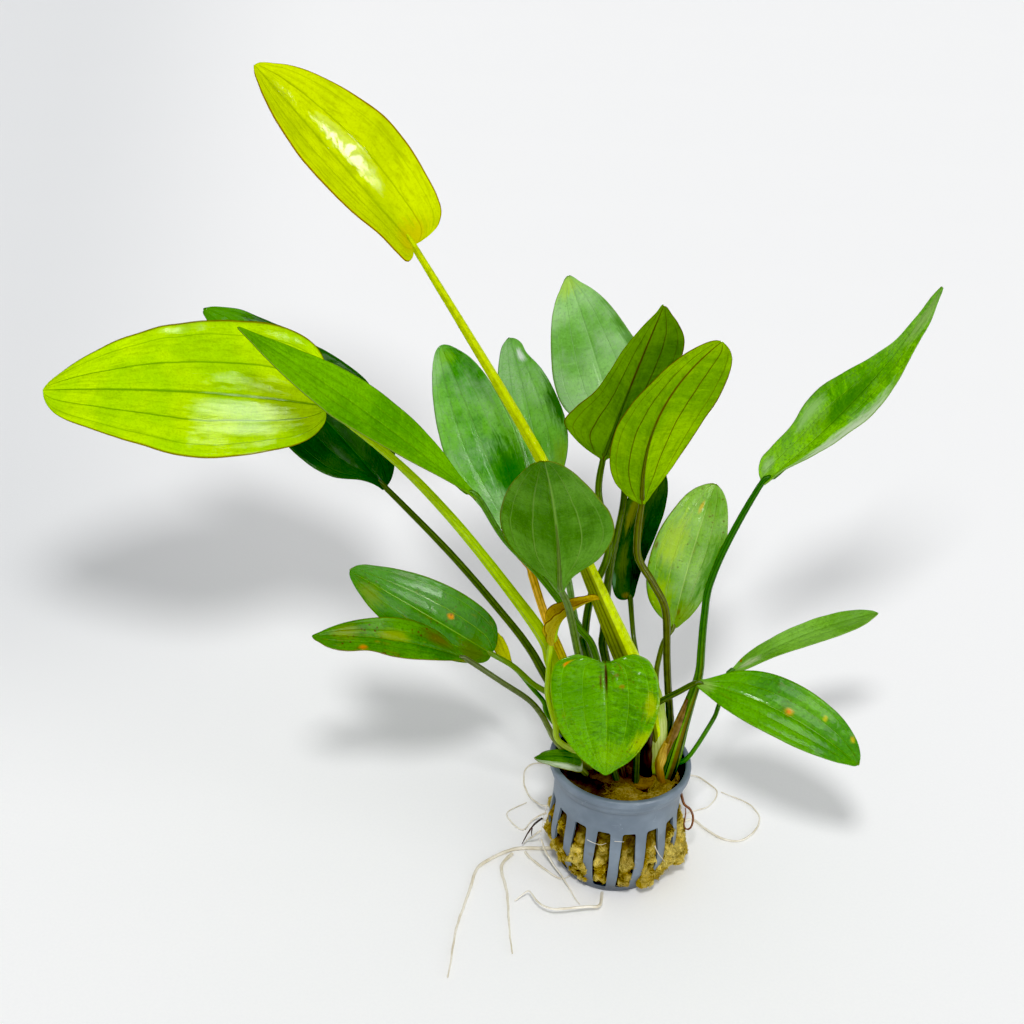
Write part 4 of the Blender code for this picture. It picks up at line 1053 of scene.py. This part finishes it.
def cutMesh(target, cutter):
    # cuts the hidden shape out of the piece and keeps the result as the piece's own mesh
    boolean = target.modifiers.new("cut", "BOOLEAN")
    boolean.operation, boolean.solver, boolean.object = "DIFFERENCE", "EXACT", cutter
    cutter.hide_render = True
    seen = target.evaluated_get(bpy.context.evaluated_depsgraph_get())
    made = bpy.data.meshes.new_from_object(seen)
    target.modifiers.clear()
    target.data = made
    bpy.data.objects.remove(cutter, do_unlink=True)


def cornerPoints(level, turns, way):
    # the round corner of a slot, at its bottom or its top
    corner = pot["corner"]
    return [(slotHalf(level) - corner + corner * cos(radians(turn)),
             level + way * corner + corner * sin(radians(turn))) for turn in turns]


def slotShapes():
    bm = bmesh.new()
    low, high, corner = pot["slotBottom"], pot["slotTop"], pot["corner"]
    start, length = pot["cut"]
    for index in range(pot["slots"]):
        outline = cornerPoints(low, (-80, -60, -40, -20), 1)
        outline += [(slotHalf(z), z) for z in (low + corner, 9, 14, 19, 24, 29, high - corner)]
        outline += cornerPoints(high, (20, 40, 60, 80), -1)
        outline += [(-y, z) for y, z in reversed(outline)]
        face = bm.faces.new([bm.verts.new((start, y, z)) for y, z in outline])
        near = list(face.verts)
        far = newVerts(bmesh.ops.extrude_face_region(bm, geom=[face]))
        bmesh.ops.translate(bm, vec=(length, 0, 0), verts=far)
        bmesh.ops.rotate(bm, verts=near + far, cent=(0, 0, 0),
                         matrix=Matrix.Rotation(slotAngle(index), 3, "Z"))
    return linkObject(meshObject("slot shapes", bm))


def drainShapes():
    bm = bmesh.new()
    length, width, place = pot["drain"]
    for index in range(pot["drains"]):
        bar = bmesh.ops.create_cube(bm, size=1.0)["verts"]
        bmesh.ops.scale(bm, vec=(length, width, 3 * pot["floor"]), verts=bar)
        bmesh.ops.translate(bm, vec=(place, 0.0, pot["floor"] / 2), verts=bar)
        bmesh.ops.rotate(bm, verts=bar, cent=(0, 0, 0), matrix=Matrix.Rotation(
            2 * pi * (index + 0.5) / pot["drains"], 3, "Z"))
    return linkObject(meshObject("drain shapes", bm))


def potSurface():
    material, tree, shader = newSurface("slate plastic")
    spot = objectSpot(tree)
    slow = grain(tree, spot, 70, 3)
    fine = grain(tree, spot, 1400, 3)
    height = splitUp(tree, spot)[2]
    body = mixColor(tree, ease(tree, slow, 0.35, 0.68), paint(104, 117, 130), paint(126, 139, 152))
    body = mixColor(tree, ease(tree, height, 0.001, 0.012, 0.75, 0.0), body, paint(46, 54, 68))
    scuffs = ease(tree, grain(tree, spot, 260, 5, 0.7, 1.2), 0.6, 0.75, 0.0, 0.3)
    body = mixColor(tree, scuffs, body, paint(176, 186, 200))
    soil = ease(tree, grain(tree, spot, 150, 4, 0.6), 0.6, 0.72, 0.0, 0.3)
    soil = calc(tree, "MULTIPLY", soil, ease(tree, height, 0.026, 0.036, 1.0, 0.15))
    body = mixColor(tree, soil, body, paint(96, 84, 40))
    bumps = calc(tree, "MULTIPLY_ADD", fine, 0.4, calc(tree, "MULTIPLY", slow, 1.2))
    setPlugs(tree, shader, {
        "Base Color": body, "Roughness": ease(tree, slow, 0.3, 0.7, 0.36, 0.54),
        "Specular IOR Level": 0.5, "Normal": relief(tree, bumps, 0.0002, 0.35)})
    return material


# the pot's inside: the same plastic painted darker, as painted shade in the pot's hollow
def shadedInsideSurface():
    material, tree, shader = newSurface("dark inside")
    slow = ease(tree, grain(tree, objectSpot(tree), 180, 3), 0.35, 0.7)
    setPlugs(tree, shader, {
        "Base Color": mixColor(tree, slow, paint(40, 50, 56), paint(62, 74, 82)),
        "Roughness": 0.55, "Specular IOR Level": 0.25})
    return material


def makePot():
    bm = ringAround(potProfile(), pot["steps"])
    piece = finishPiece("slotted_basket", bm, [potSurface(), shadedInsideSurface()], ["net_pot"])
    cutMesh(piece, slotShapes())
    cutMesh(piece, drainShapes())
    # faces that look inward, below that height, get the painted shade of the inside
    for face in piece.data.polygons:
        centre = face.center / metre
        outward = face.normal.x * centre.x + face.normal.y * centre.y
        if outward < -0.5 * hypot(centre.x, centre.y) and centre.z < pot["paintedShadeBelow"]:
            face.material_index = 1
    bevel = piece.modifiers.new("soft edges", "BEVEL")
    bevel.width, bevel.segments, bevel.limit_method = pot["edge"] * metre, 2, "ANGLE"
    bevel.angle_limit = radians(50)
    piece.data.shade_smooth()
    piece.data.set_sharp_from_angle(angle=radians(50))


makePot()
print("net pot made")


# Growing medium: a body of wet fibre that swells out of the slots, and loose strands on it
medium = {
    "top": 45.3, "steps": 288, "levels": 120, "strands": 6600,
    "core": 18.0,            # radius of the plain body, before its lumps are shaped
    "bulge": 1.9,            # how far a lump stands out of its slot
    "extra": 2.2,            # how much more it does on the side given next, in degrees
    "side": -28.0,
    "lumps": 9.0,            # size of a lump
    "crown": (2.0, 1.5),     # middle of the hollow in which the crown sits
    "hollow": (17.0, 11.0, 3.2),      # its half width, half depth and how far it goes down
}


def fibreSurface(name, light, dark, pitShade, shadedHollows=False):
    material, tree, shader = newSurface(name)
    brown = paint(150, 120, 44)
    spot = objectSpot(tree)
    slow = grain(tree, spot, 150, 4, 0.62, 0.6)
    fine = grain(tree, spot, 900, 5, 0.7, 1.5)
    body = mixColor(tree, ease(tree, slow, 0.38, 0.6), dark, light)
    body = mixColor(tree, ease(tree, grain(tree, spot, 120, 3), 0.5, 0.64, 0.0, 0.6), body, brown)
    height = splitUp(tree, spot)[2]
    body = mixColor(tree, ease(tree, height, 0.036, 0.043, 0.0, 0.6), body, brown)
    # dark pits, stronger below the top, and fine dark grain: painted shade in the gaps between the
    # fibres
    pits = ease(tree, grain(tree, spot, 260, 4, 0.6), 0.56, 0.7, 0.0, 0.75)
    pits = calc(tree, "MULTIPLY", pits, ease(tree, height, 0.036, 0.042, 1.0, 0.4))
    body = mixColor(tree, pits, body, pitShade)
    body = mixColor(tree, ease(tree, fine, 0.46, 0.7, 0.0, 0.6), body, pitShade)
    if shadedHollows:
        # painted shade in the hollows, creases and recesses, as the deep attribute gives it
        deep = addNode(tree, "Attribute", attribute_name="deep").outputs["Fac"]
        body = mixColor(tree, calc(tree, "MULTIPLY", deep, 0.85), body, pitShade)
    bumps = calc(tree, "MULTIPLY_ADD", fine, 0.45, slow)
    setPlugs(tree, shader, {
        "Base Color": body, "Roughness": 0.8, "Specular IOR Level": 0.15,
        "Normal": relief(tree, bumps, 0.0015, 1.0)})
    return material


def lumpShare(angle, z):
    # 1 on a lump of fibre and 0 in the creases between the lumps
    spot = Vector((24 * cos(angle), 24 * sin(angle), z * 0.9)) / medium["lumps"]
    spot += 0.5 * Vector((wobble(*(spot * 1.6)), wobble(*(spot * 1.6 + Vector((5, 5, 5)))),
                          wobble(*(spot * 1.6 + Vector((9, 2, 2))))))
    near, other = noise.voronoi(spot)[0][:2]
    return between(-0.1, 0.6, other - near)


def mediumRadius(angle, z):
    # radius of the medium: a core behind the ribs, with a lump in every slot, some over the ribs
    core = wallRadius(min(z, pot["slotTop"])) - pot["wall"] - 0.45
    best = core
    for index in range(pot["slots"]):
        offset = (angle - slotAngle(index) + pi) % (2 * pi) - pi
        half = slotHalf(min(max(z, pot["slotBottom"]), pot["slotTop"])) / wallRadius(z)
        spill = between(-0.45, 0.1, wobble(index * 1.7, z / 7.0, 8.0))
        spill *= between(0.35, 0.7, abs(cos(slotAngle(index))))
        spill *= between(2.5, 5, z) * between(19, 14, z)
        inside = 1 - between(0.6 + spill, 0.98 + 1.1 * spill, abs(offset) / half)
        if inside <= 0:
            continue
        toward = max(cos(slotAngle(index) - radians(medium["side"])), 0.0)
        shy = 1.0 - toward ** 4
        low = 1.0 if z < 17 else 0.25 + 0.75 * between(25, 17, z)
        gate = between(pot["slotBottom"] - 1.5, pot["slotBottom"] + 2.0, z) * between(
            pot["slotTop"] - 1.5 * shy, pot["slotTop"] - 4.5 - 4.0 * shy, z)
        lump = medium["bulge"] * (0.3 + 0.7 * low) + medium["extra"] * low * toward ** 2
        lump *= 0.7 + 1.3 * wobble(index * 3.1, z / 5.0, 1.5)
        lump -= 1.3 * (1 - lumpShare(angle, z))
        lump += 0.9 * wobble(cos(angle) * 8, sin(angle) * 8, z / 3.2)
        lump -= 1.6 * between(0.1, 0.5, wobble(cos(angle) * 7 + 9, sin(angle) * 7, z / 2.8))
        reach = max(pot["wall"] + 0.45 + lump, -0.6)
        best = max(best, core + reach * inside * gate)
    best += 0.5 * wobble(cos(angle) * 14, sin(angle) * 14, z / 2.0)
    return best + 0.35 * wobble(cos(angle) * 40, sin(angle) * 40, z / 0.7)


# hollows of the top: x, y, radius, depth
mediumHoles = ((9.5, -9.5, 4.2, 5.5), (21.0, -4.5, 2.8, 5.0), (-14.0, -14.0, 7.0, 2.5))


def mediumTop(x, y):
    # height of the medium's surface inside the rim
    centreX, centreY = medium["crown"]
    wide, deep, drop = medium["hollow"]
    offset = hypot((x - centreX) / wide, (y - centreY) / deep)
    rise = 1.4 * between(-6, 16, x) * between(4, -10, y)
    height = medium["top"] + rise - drop * exp(-offset ** 4)
    for holeX, holeY, radius, depth in mediumHoles:
        height -= depth * exp(-(hypot(x - holeX, y - holeY) / radius) ** 2)
    height += 0.8 * wobble(x / 3.2, y / 3.2, 0.5) + 0.4 * wobble(x / 1.2, y / 1.2, 4.5)
    return height + 0.25 * wobble(x / 0.5, y / 0.5, 1.5)


def makeMedium():
    low, high, core = pot["floor"] + 0.3, medium["top"], medium["core"]
    levels, topRings = medium["levels"], 34
    profile = [(radius, low) for radius in (0, 6, 12, 16)]
    profile += [(core, low + (high - low) * i / levels) for i in range(levels + 1)]
    profile += [(core * (1 - i / topRings), high) for i in range(1, topRings + 1)]
    bm = ringAround(profile, medium["steps"])
    # deep holds the share of painted shade at each vertex
    deep = bm.verts.layers.float.new("deep")
    for vert in bm.verts:
        x, y, z = vert.co
        radius, angle = hypot(x, y), atan2(y, x)
        if z > high - 0.01:
            radius *= (mediumRadius(angle, high) + 0.15) / core
            x, y = radius * cos(angle), radius * sin(angle)
            vert.co = (x, y, mediumTop(x, y))
            # painted shade on the top: darker to the left and in the two deepest holes
            shade = between(5, -6, x + 3 * wobble(x / 5, y / 5, 7)) * 0.95
            for holeX, holeY, wide, _ in mediumHoles[:2]:
                shade += 1.3 * exp(-(hypot(x - holeX, y - holeY) / wide) ** 2)
            vert[deep] = min(shade, 1.0)
        elif radius > core - 0.1:
            radius = mediumRadius(angle, z)
            vert.co = (radius * cos(angle), radius * sin(angle), z)
            # painted shade on the sides: in the creases behind the ribs, high up under the rim and
            # between the lumps
            vert[deep] = between(0.6, -1.4, radius - wallRadius(min(z, pot["slotTop"])))
            vert[deep] = max(vert[deep], 0.9 * between(22, 29, z), 0.7 - lumpShare(angle, z))
            if z > high - 4:
                share = (z - high + 4) / 4
                vert.co.z += share * (mediumTop(vert.co.x, vert.co.y) - high)
    surface = fibreSurface(
        "wet fibre", paint(255, 228, 112), paint(182, 148, 40), paint(32, 22, 6), shadedHollows=True)
    return finishPiece("wet_fibre", bm, [surface], ["growing_medium"])


def strandCurve(name, thickness, surface, roundness=0):
    curve = bpy.data.curves.new(name, "CURVE")
    curve.dimensions = "3D"
    curve.bevel_depth = thickness / 2 * metre
    curve.bevel_resolution = roundness
    curve.use_fill_caps = True
    curve.materials.append(surface)
    return curve


def addStrand(curve, points, widths):
    spline = curve.splines.new("POLY")
    spline.points.add(len(points) - 1)
    for knot, point, width in zip(spline.points, points, widths):
        knot.co = (*(Vector(point) * metre), 1.0)
        knot.radius = width


def makeStrands(body):
    # short threads that lie on the medium, where it can be seen
    dice = random.Random(11)

    def isOpen(face):
        # the top inside the rim, apart from its shaded left, and the lumps outside the slots
        centre = face.center / metre
        radius = hypot(centre.x, centre.y)
        if centre.z > medium["top"] - 4 and radius < 23.0 and face.normal.z > 0.3:
            return centre.x > -6
        return centre.z < 30 and radius > wallRadius(centre.z) + 0.2

    faces = [face for face in body.data.polygons if isOpen(face)]
    # in a fixed order, so that each run lays the same threads
    faces.sort(key=lambda face: sorted(face.vertices))
    weights = [face.area for face in faces]
    light = fibreSurface(
        "fibre threads", paint(248, 230, 130), paint(206, 180, 66), paint(100, 76, 16))
    curve = strandCurve("medium_strands", 0.22, light)
    for face in dice.choices(faces, weights=weights, k=medium["strands"]):
        start = face.center / metre
        normal = face.normal
        way = Vector([dice.uniform(-1, 1) for _ in range(3)])
        way = (way - normal * way.dot(normal)).normalized()
        turn = normal.cross(way)
        length = dice.uniform(1.0, 3.4)
        bend = dice.uniform(-0.5, 0.5)
        lift = dice.uniform(0.1, 0.7)
        points = []
        for step in range(4):
            t = step / 3 - 0.5
            points.append(start + way * (length * t) + turn * (bend * length * t ** 2)
                          + normal * (lift * sin(pi * step / 3) - 0.08))
        addStrand(curve, points, (0.45, 1.0, 0.9, 0.4))
    placePiece(bpy.data.objects.new("medium_strands", curve))


makeStrands(makeMedium())
print("growing medium made")


# Crown and sheaths
crownLook = {"centre": (2.0, 1.5, 42.6), "size": (16.8, 11.2, 3.4), "lumps": 1.1}


def makeCrown():
    bm = bmesh.new()
    bmesh.ops.create_uvsphere(bm, u_segments=72, v_segments=36, radius=1.0)
    bmesh.ops.scale(bm, vec=crownLook["size"], verts=bm.verts)
    for vert in bm.verts:
        push = wobble(vert.co.x / 4, vert.co.y / 4, vert.co.z / 4)
        push += 0.5 * wobble(vert.co.x / 1.4, vert.co.y / 1.4, 3)
        vert.co += vert.normal * (crownLook["lumps"] * push)
        vert.co.z = min(vert.co.z, 3.0)
    bmesh.ops.translate(bm, vec=crownLook["centre"], verts=bm.verts)
    surface = fibreSurface("rhizome skin", paint(150, 122, 24), paint(96, 70, 10), paint(20, 12, 1))
    finishPiece("rhizome_crown", bm, [surface], ["crown"])


# points: (x, y, z, width); wrap: degrees that the sheath bends round what it holds;
# toward: where its hollow side looks
sheaths = {
    "sheath_pale": dict(
        points=[(12.6, -4.2, 46, 5), (12.8, -4.6, 54.3, 8), (12.4, -4.8, 61.3, 7.6),
                (11.7, -5, 69.2, 6.6), (10.8, -5.6, 77.3, 5.4), (9, -6.6, 87, 3)],
        wrap=130, toward=(0.15, 1, 0.1), color=paint(206, 220, 130), second=paint(168, 200, 50),
        slot="rhizome", rough=0.4),
    "sheath_brown": dict(
        points=[(9.6, -4.6, 45, 4.6), (9, -5, 53, 4.4), (8.9, -5.2, 60, 3.4), (9.5, -5.4, 67, 1.2)],
        wrap=100, toward=(0.3, 1, 0), color=paint(84, 62, 50), second=paint(34, 22, 22),
        slot="rhizome", rough=0.5),
    "sheath_papery": dict(
        points=[(16.5, -8.6, 43.8, 2.6), (14.4, -8.2, 47.6, 4.4), (13.3, -7.6, 52, 4.8),
                (14, -7, 57, 4), (15.4, -6.6, 63, 2.2)],
        wrap=100, toward=(0.8, 0.6, 0.3), color=paint(212, 180, 60), second=paint(160, 120, 14),
        slot="dead", rough=0.6),
    "sheath_flap": dict(
        points=[(15.4, -5, 55, 2.4), (16.4, -5.4, 61, 3), (18.2, -5.6, 68, 2.8),
                (19.8, -5.6, 75, 2.2), (21.2, -5.4, 82.5, 0.8)],
        wrap=60, toward=(0.6, 1, 0), color=paint(160, 128, 50), second=paint(96, 66, 20),
        slot="dead", rough=0.6),
    "sheath_left": dict(
        points=[(-10.5, -2, 45, 4), (-13.5, -4, 51, 4.6), (-17.5, -7, 58.5, 3.4),
                (-20, -8.5, 64, 1.6)],
        wrap=110, toward=(-0.3, 1, 0), color=paint(200, 206, 120), second=paint(150, 160, 60),
        slot="rhizome", rough=0.45),
}


def sheathSurface(name, look):
    material, tree, shader = newSurface(name)
    spot = objectSpot(tree)
    sideways = splitUp(tree, addNode(tree, "UVMap", uv_map="UVMap").outputs[0])[0]
    drift = calc(tree, "SUBTRACT", grain(tree, spot, 90, 3), 0.5)
    lines = calc(tree, "MULTIPLY_ADD", sideways, 60.0, calc(tree, "MULTIPLY", drift, 5.0))
    lines = ease(tree, calc(tree, "SINE", lines), -0.2, 0.9)
    slow = grain(tree, spot, 130, 4)
    body = mixColor(tree, ease(tree, slow, 0.35, 0.65), look["color"], look["second"])
    body = mixColor(tree, calc(tree, "MULTIPLY", lines, 0.4), body, look["second"])
    bumps = calc(tree, "MULTIPLY_ADD", lines, 0.5, slow)
    setPlugs(tree, shader, {
        "Base Color": body, "Coat Weight": 0.1, "Normal": relief(tree, bumps, 0.0004, 0.7),
        "Roughness": ease(tree, slow, 0.3, 0.7, look["rough"] - 0.06, look["rough"] + 0.14)})
    return material


def makeSheath(name, look, seed):
    rows, columns, thickness = 48, 20, 0.45
    stations = evenPoints(look["points"], rows + 1)
    places = [Vector(station[:3]) for station in stations]
    toward = Vector(look["toward"])
    bm = bmesh.new()
    bmesh.ops.create_grid(bm, x_segments=columns, y_segments=rows, size=1.0)
    where = {}
    for vert in bm.verts:
        where[vert] = ((vert.co.x + 1) / 2, (vert.co.y + 1) / 2)
        i = round((vert.co.y + 1) / 2 * rows)
        along = (places[min(i + 1, rows)] - places[max(i - 1, 0)]).normalized()
        hollow = (toward - along * toward.dot(along)).normalized()
        across = hollow.cross(along)
        half, share = stations[i][3] / 2, i / rows
        wrap = radians(look["wrap"]) / 2
        bend = half / sin(min(wrap, pi / 2))
        angle = vert.co.x * wrap
        crumple = 0.5 * wobble(places[i].z / 4, vert.co.x * 2.5, seed) * (0.4 + share)
        edge = 0.8 * wobble(places[i].z / 2.5, vert.co.x, seed + 4) * abs(vert.co.x) ** 2
        vert.co = (places[i] + across * ((bend + crumple) * sin(angle))
                   + hollow * (bend * (1 - cos(angle)) + crumple) + along * edge)
    writeUv(bm, where)
    surface = sheathSurface(name.replace("_", " "), look)
    piece = finishPiece(name, bm, [surface], outwards=False)
    solid = piece.modifiers.new("thickness", "SOLIDIFY")
    solid.thickness, solid.offset = thickness * metre, 0.0


makeCrown()
for number, (name, look) in enumerate(sheaths.items()):
    makeSheath(name, look, number * 5.3)
print("crown and sheaths made")


# Roots: a diameter, and points (x, y, z) from the pot outwards
roots = {
    "long": (1.5, [
        (-21.6, 0.5, 2.5), (-28, 1, 1.1), (-35, 0.7, 1.1), (-40.5, -1.5, 1.1), (-47, -6.5, 1.1),
        (-51.5, -11.5, 1.1), (-53, -17, 1.1), (-55, -28, 1.1), (-58, -44, 1.1), (-59.5, -68, 1.1)]),
    "fork": (1.3, [
        (-38.5, -2.8, 1), (-42, -8, 1), (-42.5, -13, 1), (-40, -24, 1), (-38.5, -42, 1),
        (-37, -55, 1)]),
    "returning": (1.0, [
        (-33.5, -1.2, 0.9), (-31.5, -4.5, 0.9), (-28, -8, 0.9), (-23.2, -12.6, 0.9),
        (-18.7, -15, 0.9), (-15.8, -13.4, 0.9)]),
    "pale": (0.8, [(-28.2, -1.2, 12), (-31, 2, 6), (-33, 3.8, 2.4), (-34, 3, 1.4)]),
    "dark": (0.9, [(-28, -3, 20), (-30.5, -1.5, 16), (-33, -0.7, 10), (-35, -0.4, 4)]),
    "trailing": (0.8, [
        (-27.8, -7, 13), (-25.5, -7, 6.5), (-22.3, -10, 3), (-18.8, -16.5, 3), (-15, -23, 1),
        (-12, -28, 0.8)]),
    "front": (1.2, [
        (-3.5, -21.4, 1), (-5, -30, 2.5), (-10.5, -32.5, 4), (-21, -35.5, 5), (-26, -34.5, 5),
        (-29, -31.5, 5), (-31.5, -26.5, 4.5), (-33.5, -26.5, 3), (-37, -28.5, 1)]),
    "back_loop": (0.8, [
        (-21.8, 18.2, 11), (-26, 21, 6), (-30, 28, 2), (-33.5, 35, 0.8), (-35, 42.5, 0.8),
        (-34, 50.5, 0.8), (-29.5, 54.5, 0.8), (-20, 52, 0.8), (-12, 40, 0.8), (-8, 26, 2)]),
    "side_loop": (0.8, [
        (-26, 11.8, 10), (-28.8, 16.5, 4), (-31.5, 16, 1.5), (-35, 11.5, 0.8), (-40, 17, 0.8),
        (-41, 22, 0.8), (-33.5, 28.5, 0.8)]),
    "right_small": (0.9, [
        (13, 22.5, 3), (20, 36, 0.9), (30, 50, 0.9), (38.5, 52, 0.9), (45, 46, 0.9),
        (46.8, 41.8, 0.9), (45, 36.5, 0.9), (41.5, 32, 0.9), (35.5, 29, 0.9), (27, 24, 0.9)]),
    "right_loop": (1.1, [
        (24.5, 15.5, 2.2), (34, 24, 0.9), (39.5, 19, 0.9), (46, 13.5, 0.9), (52.5, 12.5, 0.9),
        (57.5, 16, 0.9), (61.5, 22, 0.9), (63, 28, 0.9), (61.5, 33, 0.9), (58, 37, 0.9),
        (48.5, 42.5, 0.9)]),
    "rust": (1.1, [
        (25, 1.5, 33), (26.4, -0.6, 29.5), (28.9, -1.8, 28), (30.2, -2.6, 24.5), (29.9, -3, 20.4),
        (28.4, -3, 18.9), (27.3, -2.6, 21), (27.4, -2, 25), (27, -1.4, 28)]),
}

# the side twig of the dark root
twig = [(-31.4, -1.2, 13.4), (-31.6, -2.2, 12.2), (-31.5, -2.7, 10.6)]
# whitish rootlets over the medium: a diameter and points
rootlets = [
    (0.35, [(-11.5, -24.2, 29.5), (-9, -25.4, 29.2), (-6.5, -26.6, 29.6), (-4.5, -26.4, 30.4)]),
    (0.3, [(-1.5, -25.4, 30.6), (0.5, -25.8, 30.9), (2, -25.6, 30.8)]),
    (0.4, [(14, -22.5, 27), (15.5, -23.6, 24.5), (17.2, -23.4, 22), (18.4, -23.8, 20.6)]),
    (0.3, [(-26.5, -3.5, 26), (-27.4, -2.5, 20), (-27.8, -3.5, 14), (-28.8, -2.6, 8)]),
]


def rootSurface(name, light, dark, rough):
    material, tree, shader = newSurface(name)
    spot = objectSpot(tree)
    slow = grain(tree, spot, 120, 3)
    fine = grain(tree, spot, 900, 3)
    body = mixColor(tree, ease(tree, slow, 0.35, 0.68), light, dark)
    body = mixColor(tree, ease(tree, fine, 0.5, 0.8, 0.0, 0.5), body, dark)
    setPlugs(tree, shader, {
        "Base Color": body, "Coat Weight": 0.15, "Normal": relief(tree, fine, 0.0002, 0.5),
        "Roughness": ease(tree, fine, 0.3, 0.7, rough - 0.08, rough + 0.1)})
    return material


rootSurfaces = {
    "pale": rootSurface("pale root", paint(236, 231, 216), paint(210, 200, 174), 0.42),
    "dark": rootSurface("dark root", paint(64, 38, 26), paint(36, 20, 14), 0.4),
    "rust": rootSurface("rusty root", paint(140, 84, 36), paint(90, 44, 16), 0.3),
}


def makeRoot(name, diameter, points, seed):
    kind = name if name in ("dark", "rust") else "pale"
    curve = strandCurve("rootline_" + name, diameter, rootSurfaces[kind], roundness=3)
    stations = evenPoints(points, max(16, round(pathLength(points) / 1.1)))
    last = len(stations) - 1
    rows, widths = [], []
    for i, (x, y, z) in enumerate(stations):
        share = i / last
        free = min(share * 8, 1.0)
        x += 0.28 * free * wobble(i / 4.5, seed, 0.3)
        y += 0.28 * free * wobble(i / 4.5, seed, 9.3)
        width = (1.0 - 0.62 * share ** 1.3) * (1 + 0.16 * wobble(i / 3.0, seed, 5.0))
        z = max(z, diameter / 2 * width + 0.05)
        rows.append((x, y, z))
        widths.append(width)
    addStrand(curve, rows, widths)
    if name == "dark":
        addStrand(curve, twig, (0.6, 0.5, 0.25))
    placePiece(bpy.data.objects.new("rootline_" + name, curve), ["root_" + name])


for number, (name, (diameter, points)) in enumerate(roots.items()):
    makeRoot(name, diameter, points, number * 2.9)
hairs, hairPoints = strandCurve("rootlets", 1.0, rootSurfaces["pale"]), 16
for diameter, points in rootlets:
    widths = [diameter * (1 - 0.5 * i / (hairPoints - 1)) for i in range(hairPoints)]
    addStrand(hairs, evenPoints(points, hairPoints), widths)
placePiece(bpy.data.objects.new("rootlets", hairs))
print("roots made:", len(roots))


# Floor, lights and air
studio = {
    # the darker floor colour is painted shade, to the left of and behind the plant
    "floor": paint(250, 250, 250), "floorPaintedShade": paint(230, 231, 232),
    "floorGrain": paint(240, 241, 243), "floorHalf": 6.0,
    "air": (0.98, 0.99, 1.0, 1.0), "airStrength": 0.53, "aim": Vector((-0.04, 0.0, 0.12)),
    "blackLevel": 0.022,
}
# the lamp above the camera, which casts the shadows. reach: metres to the plant's foot
nearLamp = {"place": (-0.05, -0.368, 0.518), "radius": 0.035, "reach": 0.637, "strength": 1.4}
# a wide light from the right. way: towards it. spread: degrees across
wideLight = dict(way=(0.75, -0.55, 0.36), spread=50, strength=0.7)
# panels that show as gloss on the wet leaves and light nothing else
panels = {
    "side": dict(way=(0.69, -0.72, 0.03), away=1.3, size=0.4, bright=16.0),
    "high": dict(way=(0.40, -0.26, 0.88), away=1.5, size=0.7, bright=9.0),
}


def makeFloor():
    bm = bmesh.new()
    bmesh.ops.create_grid(bm, x_segments=2, y_segments=2, size=studio["floorHalf"])
    floor = linkObject(meshObject("floor", bm, outwards=False, unit=1.0))
    material, tree, shader = newSurface("studio floor")
    spot = objectSpot(tree)
    fibres = grain(tree, spot, 900, 3)
    right, behind, _ = splitUp(tree, spot)
    # painted shade: the floor is darker to the left, fading in behind the plant
    back = calc(tree, "MAXIMUM", behind, 0.0)
    leftwards = calc(tree, "DIVIDE", right, calc(tree, "ADD", back, 1.0))
    shade = calc(tree, "MULTIPLY", ease(tree, leftwards, -0.27, -0.12, 1.0, 0.0),
                 ease(tree, back, 0.0, 0.2))
    paper = mixColor(tree, shade, studio["floor"], studio["floorPaintedShade"])
    paper = mixColor(tree, ease(tree, fibres, 0.3, 0.7, 0.0, 0.2), paper, studio["floorGrain"])
    setPlugs(tree, shader, {"Base Color": paper, "Roughness": 0.9, "Specular IOR Level": 0.1})
    floor.data.materials.append(material)


def addLamp(name, kind, place=(0, 0, 0), way=(0, 0, 1), **settings):
    # way: from what is lit towards the lamp
    data = bpy.data.lights.new(name, kind)
    for key, value in settings.items():
        setattr(data, key, value)
    lamp = linkObject(bpy.data.objects.new(name, data))
    lamp.location = place
    lamp.rotation_euler = Vector(way).to_track_quat("Z", "Y").to_euler()
    return lamp


def makeLamps():
    near = addLamp("near lamp", "POINT", nearLamp["place"], shadow_soft_size=nearLamp["radius"],
                   energy=nearLamp["strength"] * 4 * pi).data
    # brighter far off, so that the floor is lit evenly
    near.use_nodes = True
    tree = near.node_tree
    falloff = addNode(tree, "LightFalloff", {"Strength": 1 / nearLamp["reach"]})
    length = addNode(tree, "LightPath").outputs["Ray Length"]
    tree.links.new(calc(tree, "MULTIPLY", falloff.outputs["Constant"], length),
                   tree.nodes["Emission"].inputs["Strength"])
    addLamp("wide light", "SUN", way=wideLight["way"], energy=wideLight["strength"],
            angle=radians(wideLight["spread"]))
    for name, panel in panels.items():
        way = Vector(panel["way"]).normalized()
        energy = panel["bright"] * pi * pi * (panel["size"] / 2) ** 2
        lamp = addLamp(name, "AREA", studio["aim"] + way * panel["away"], way, shape="DISK",
                       size=panel["size"], energy=energy)
        lamp.visible_diffuse = False


def makeAir():
    world = bpy.data.worlds.new("studio air")
    world.use_nodes = True
    back = world.node_tree.nodes["Background"]
    back.inputs["Color"].default_value = studio["air"]
    back.inputs["Strength"].default_value = studio["airStrength"]
    scene.world = world


makeFloor()
makeLamps()
makeAir()
scene.view_settings.view_transform = "Standard"
scene.view_settings.use_curve_mapping = True
scene.view_settings.curve_mapping.black_level = [studio["blackLevel"]] * 3
scene.view_settings.curve_mapping.update()
print("studio made")
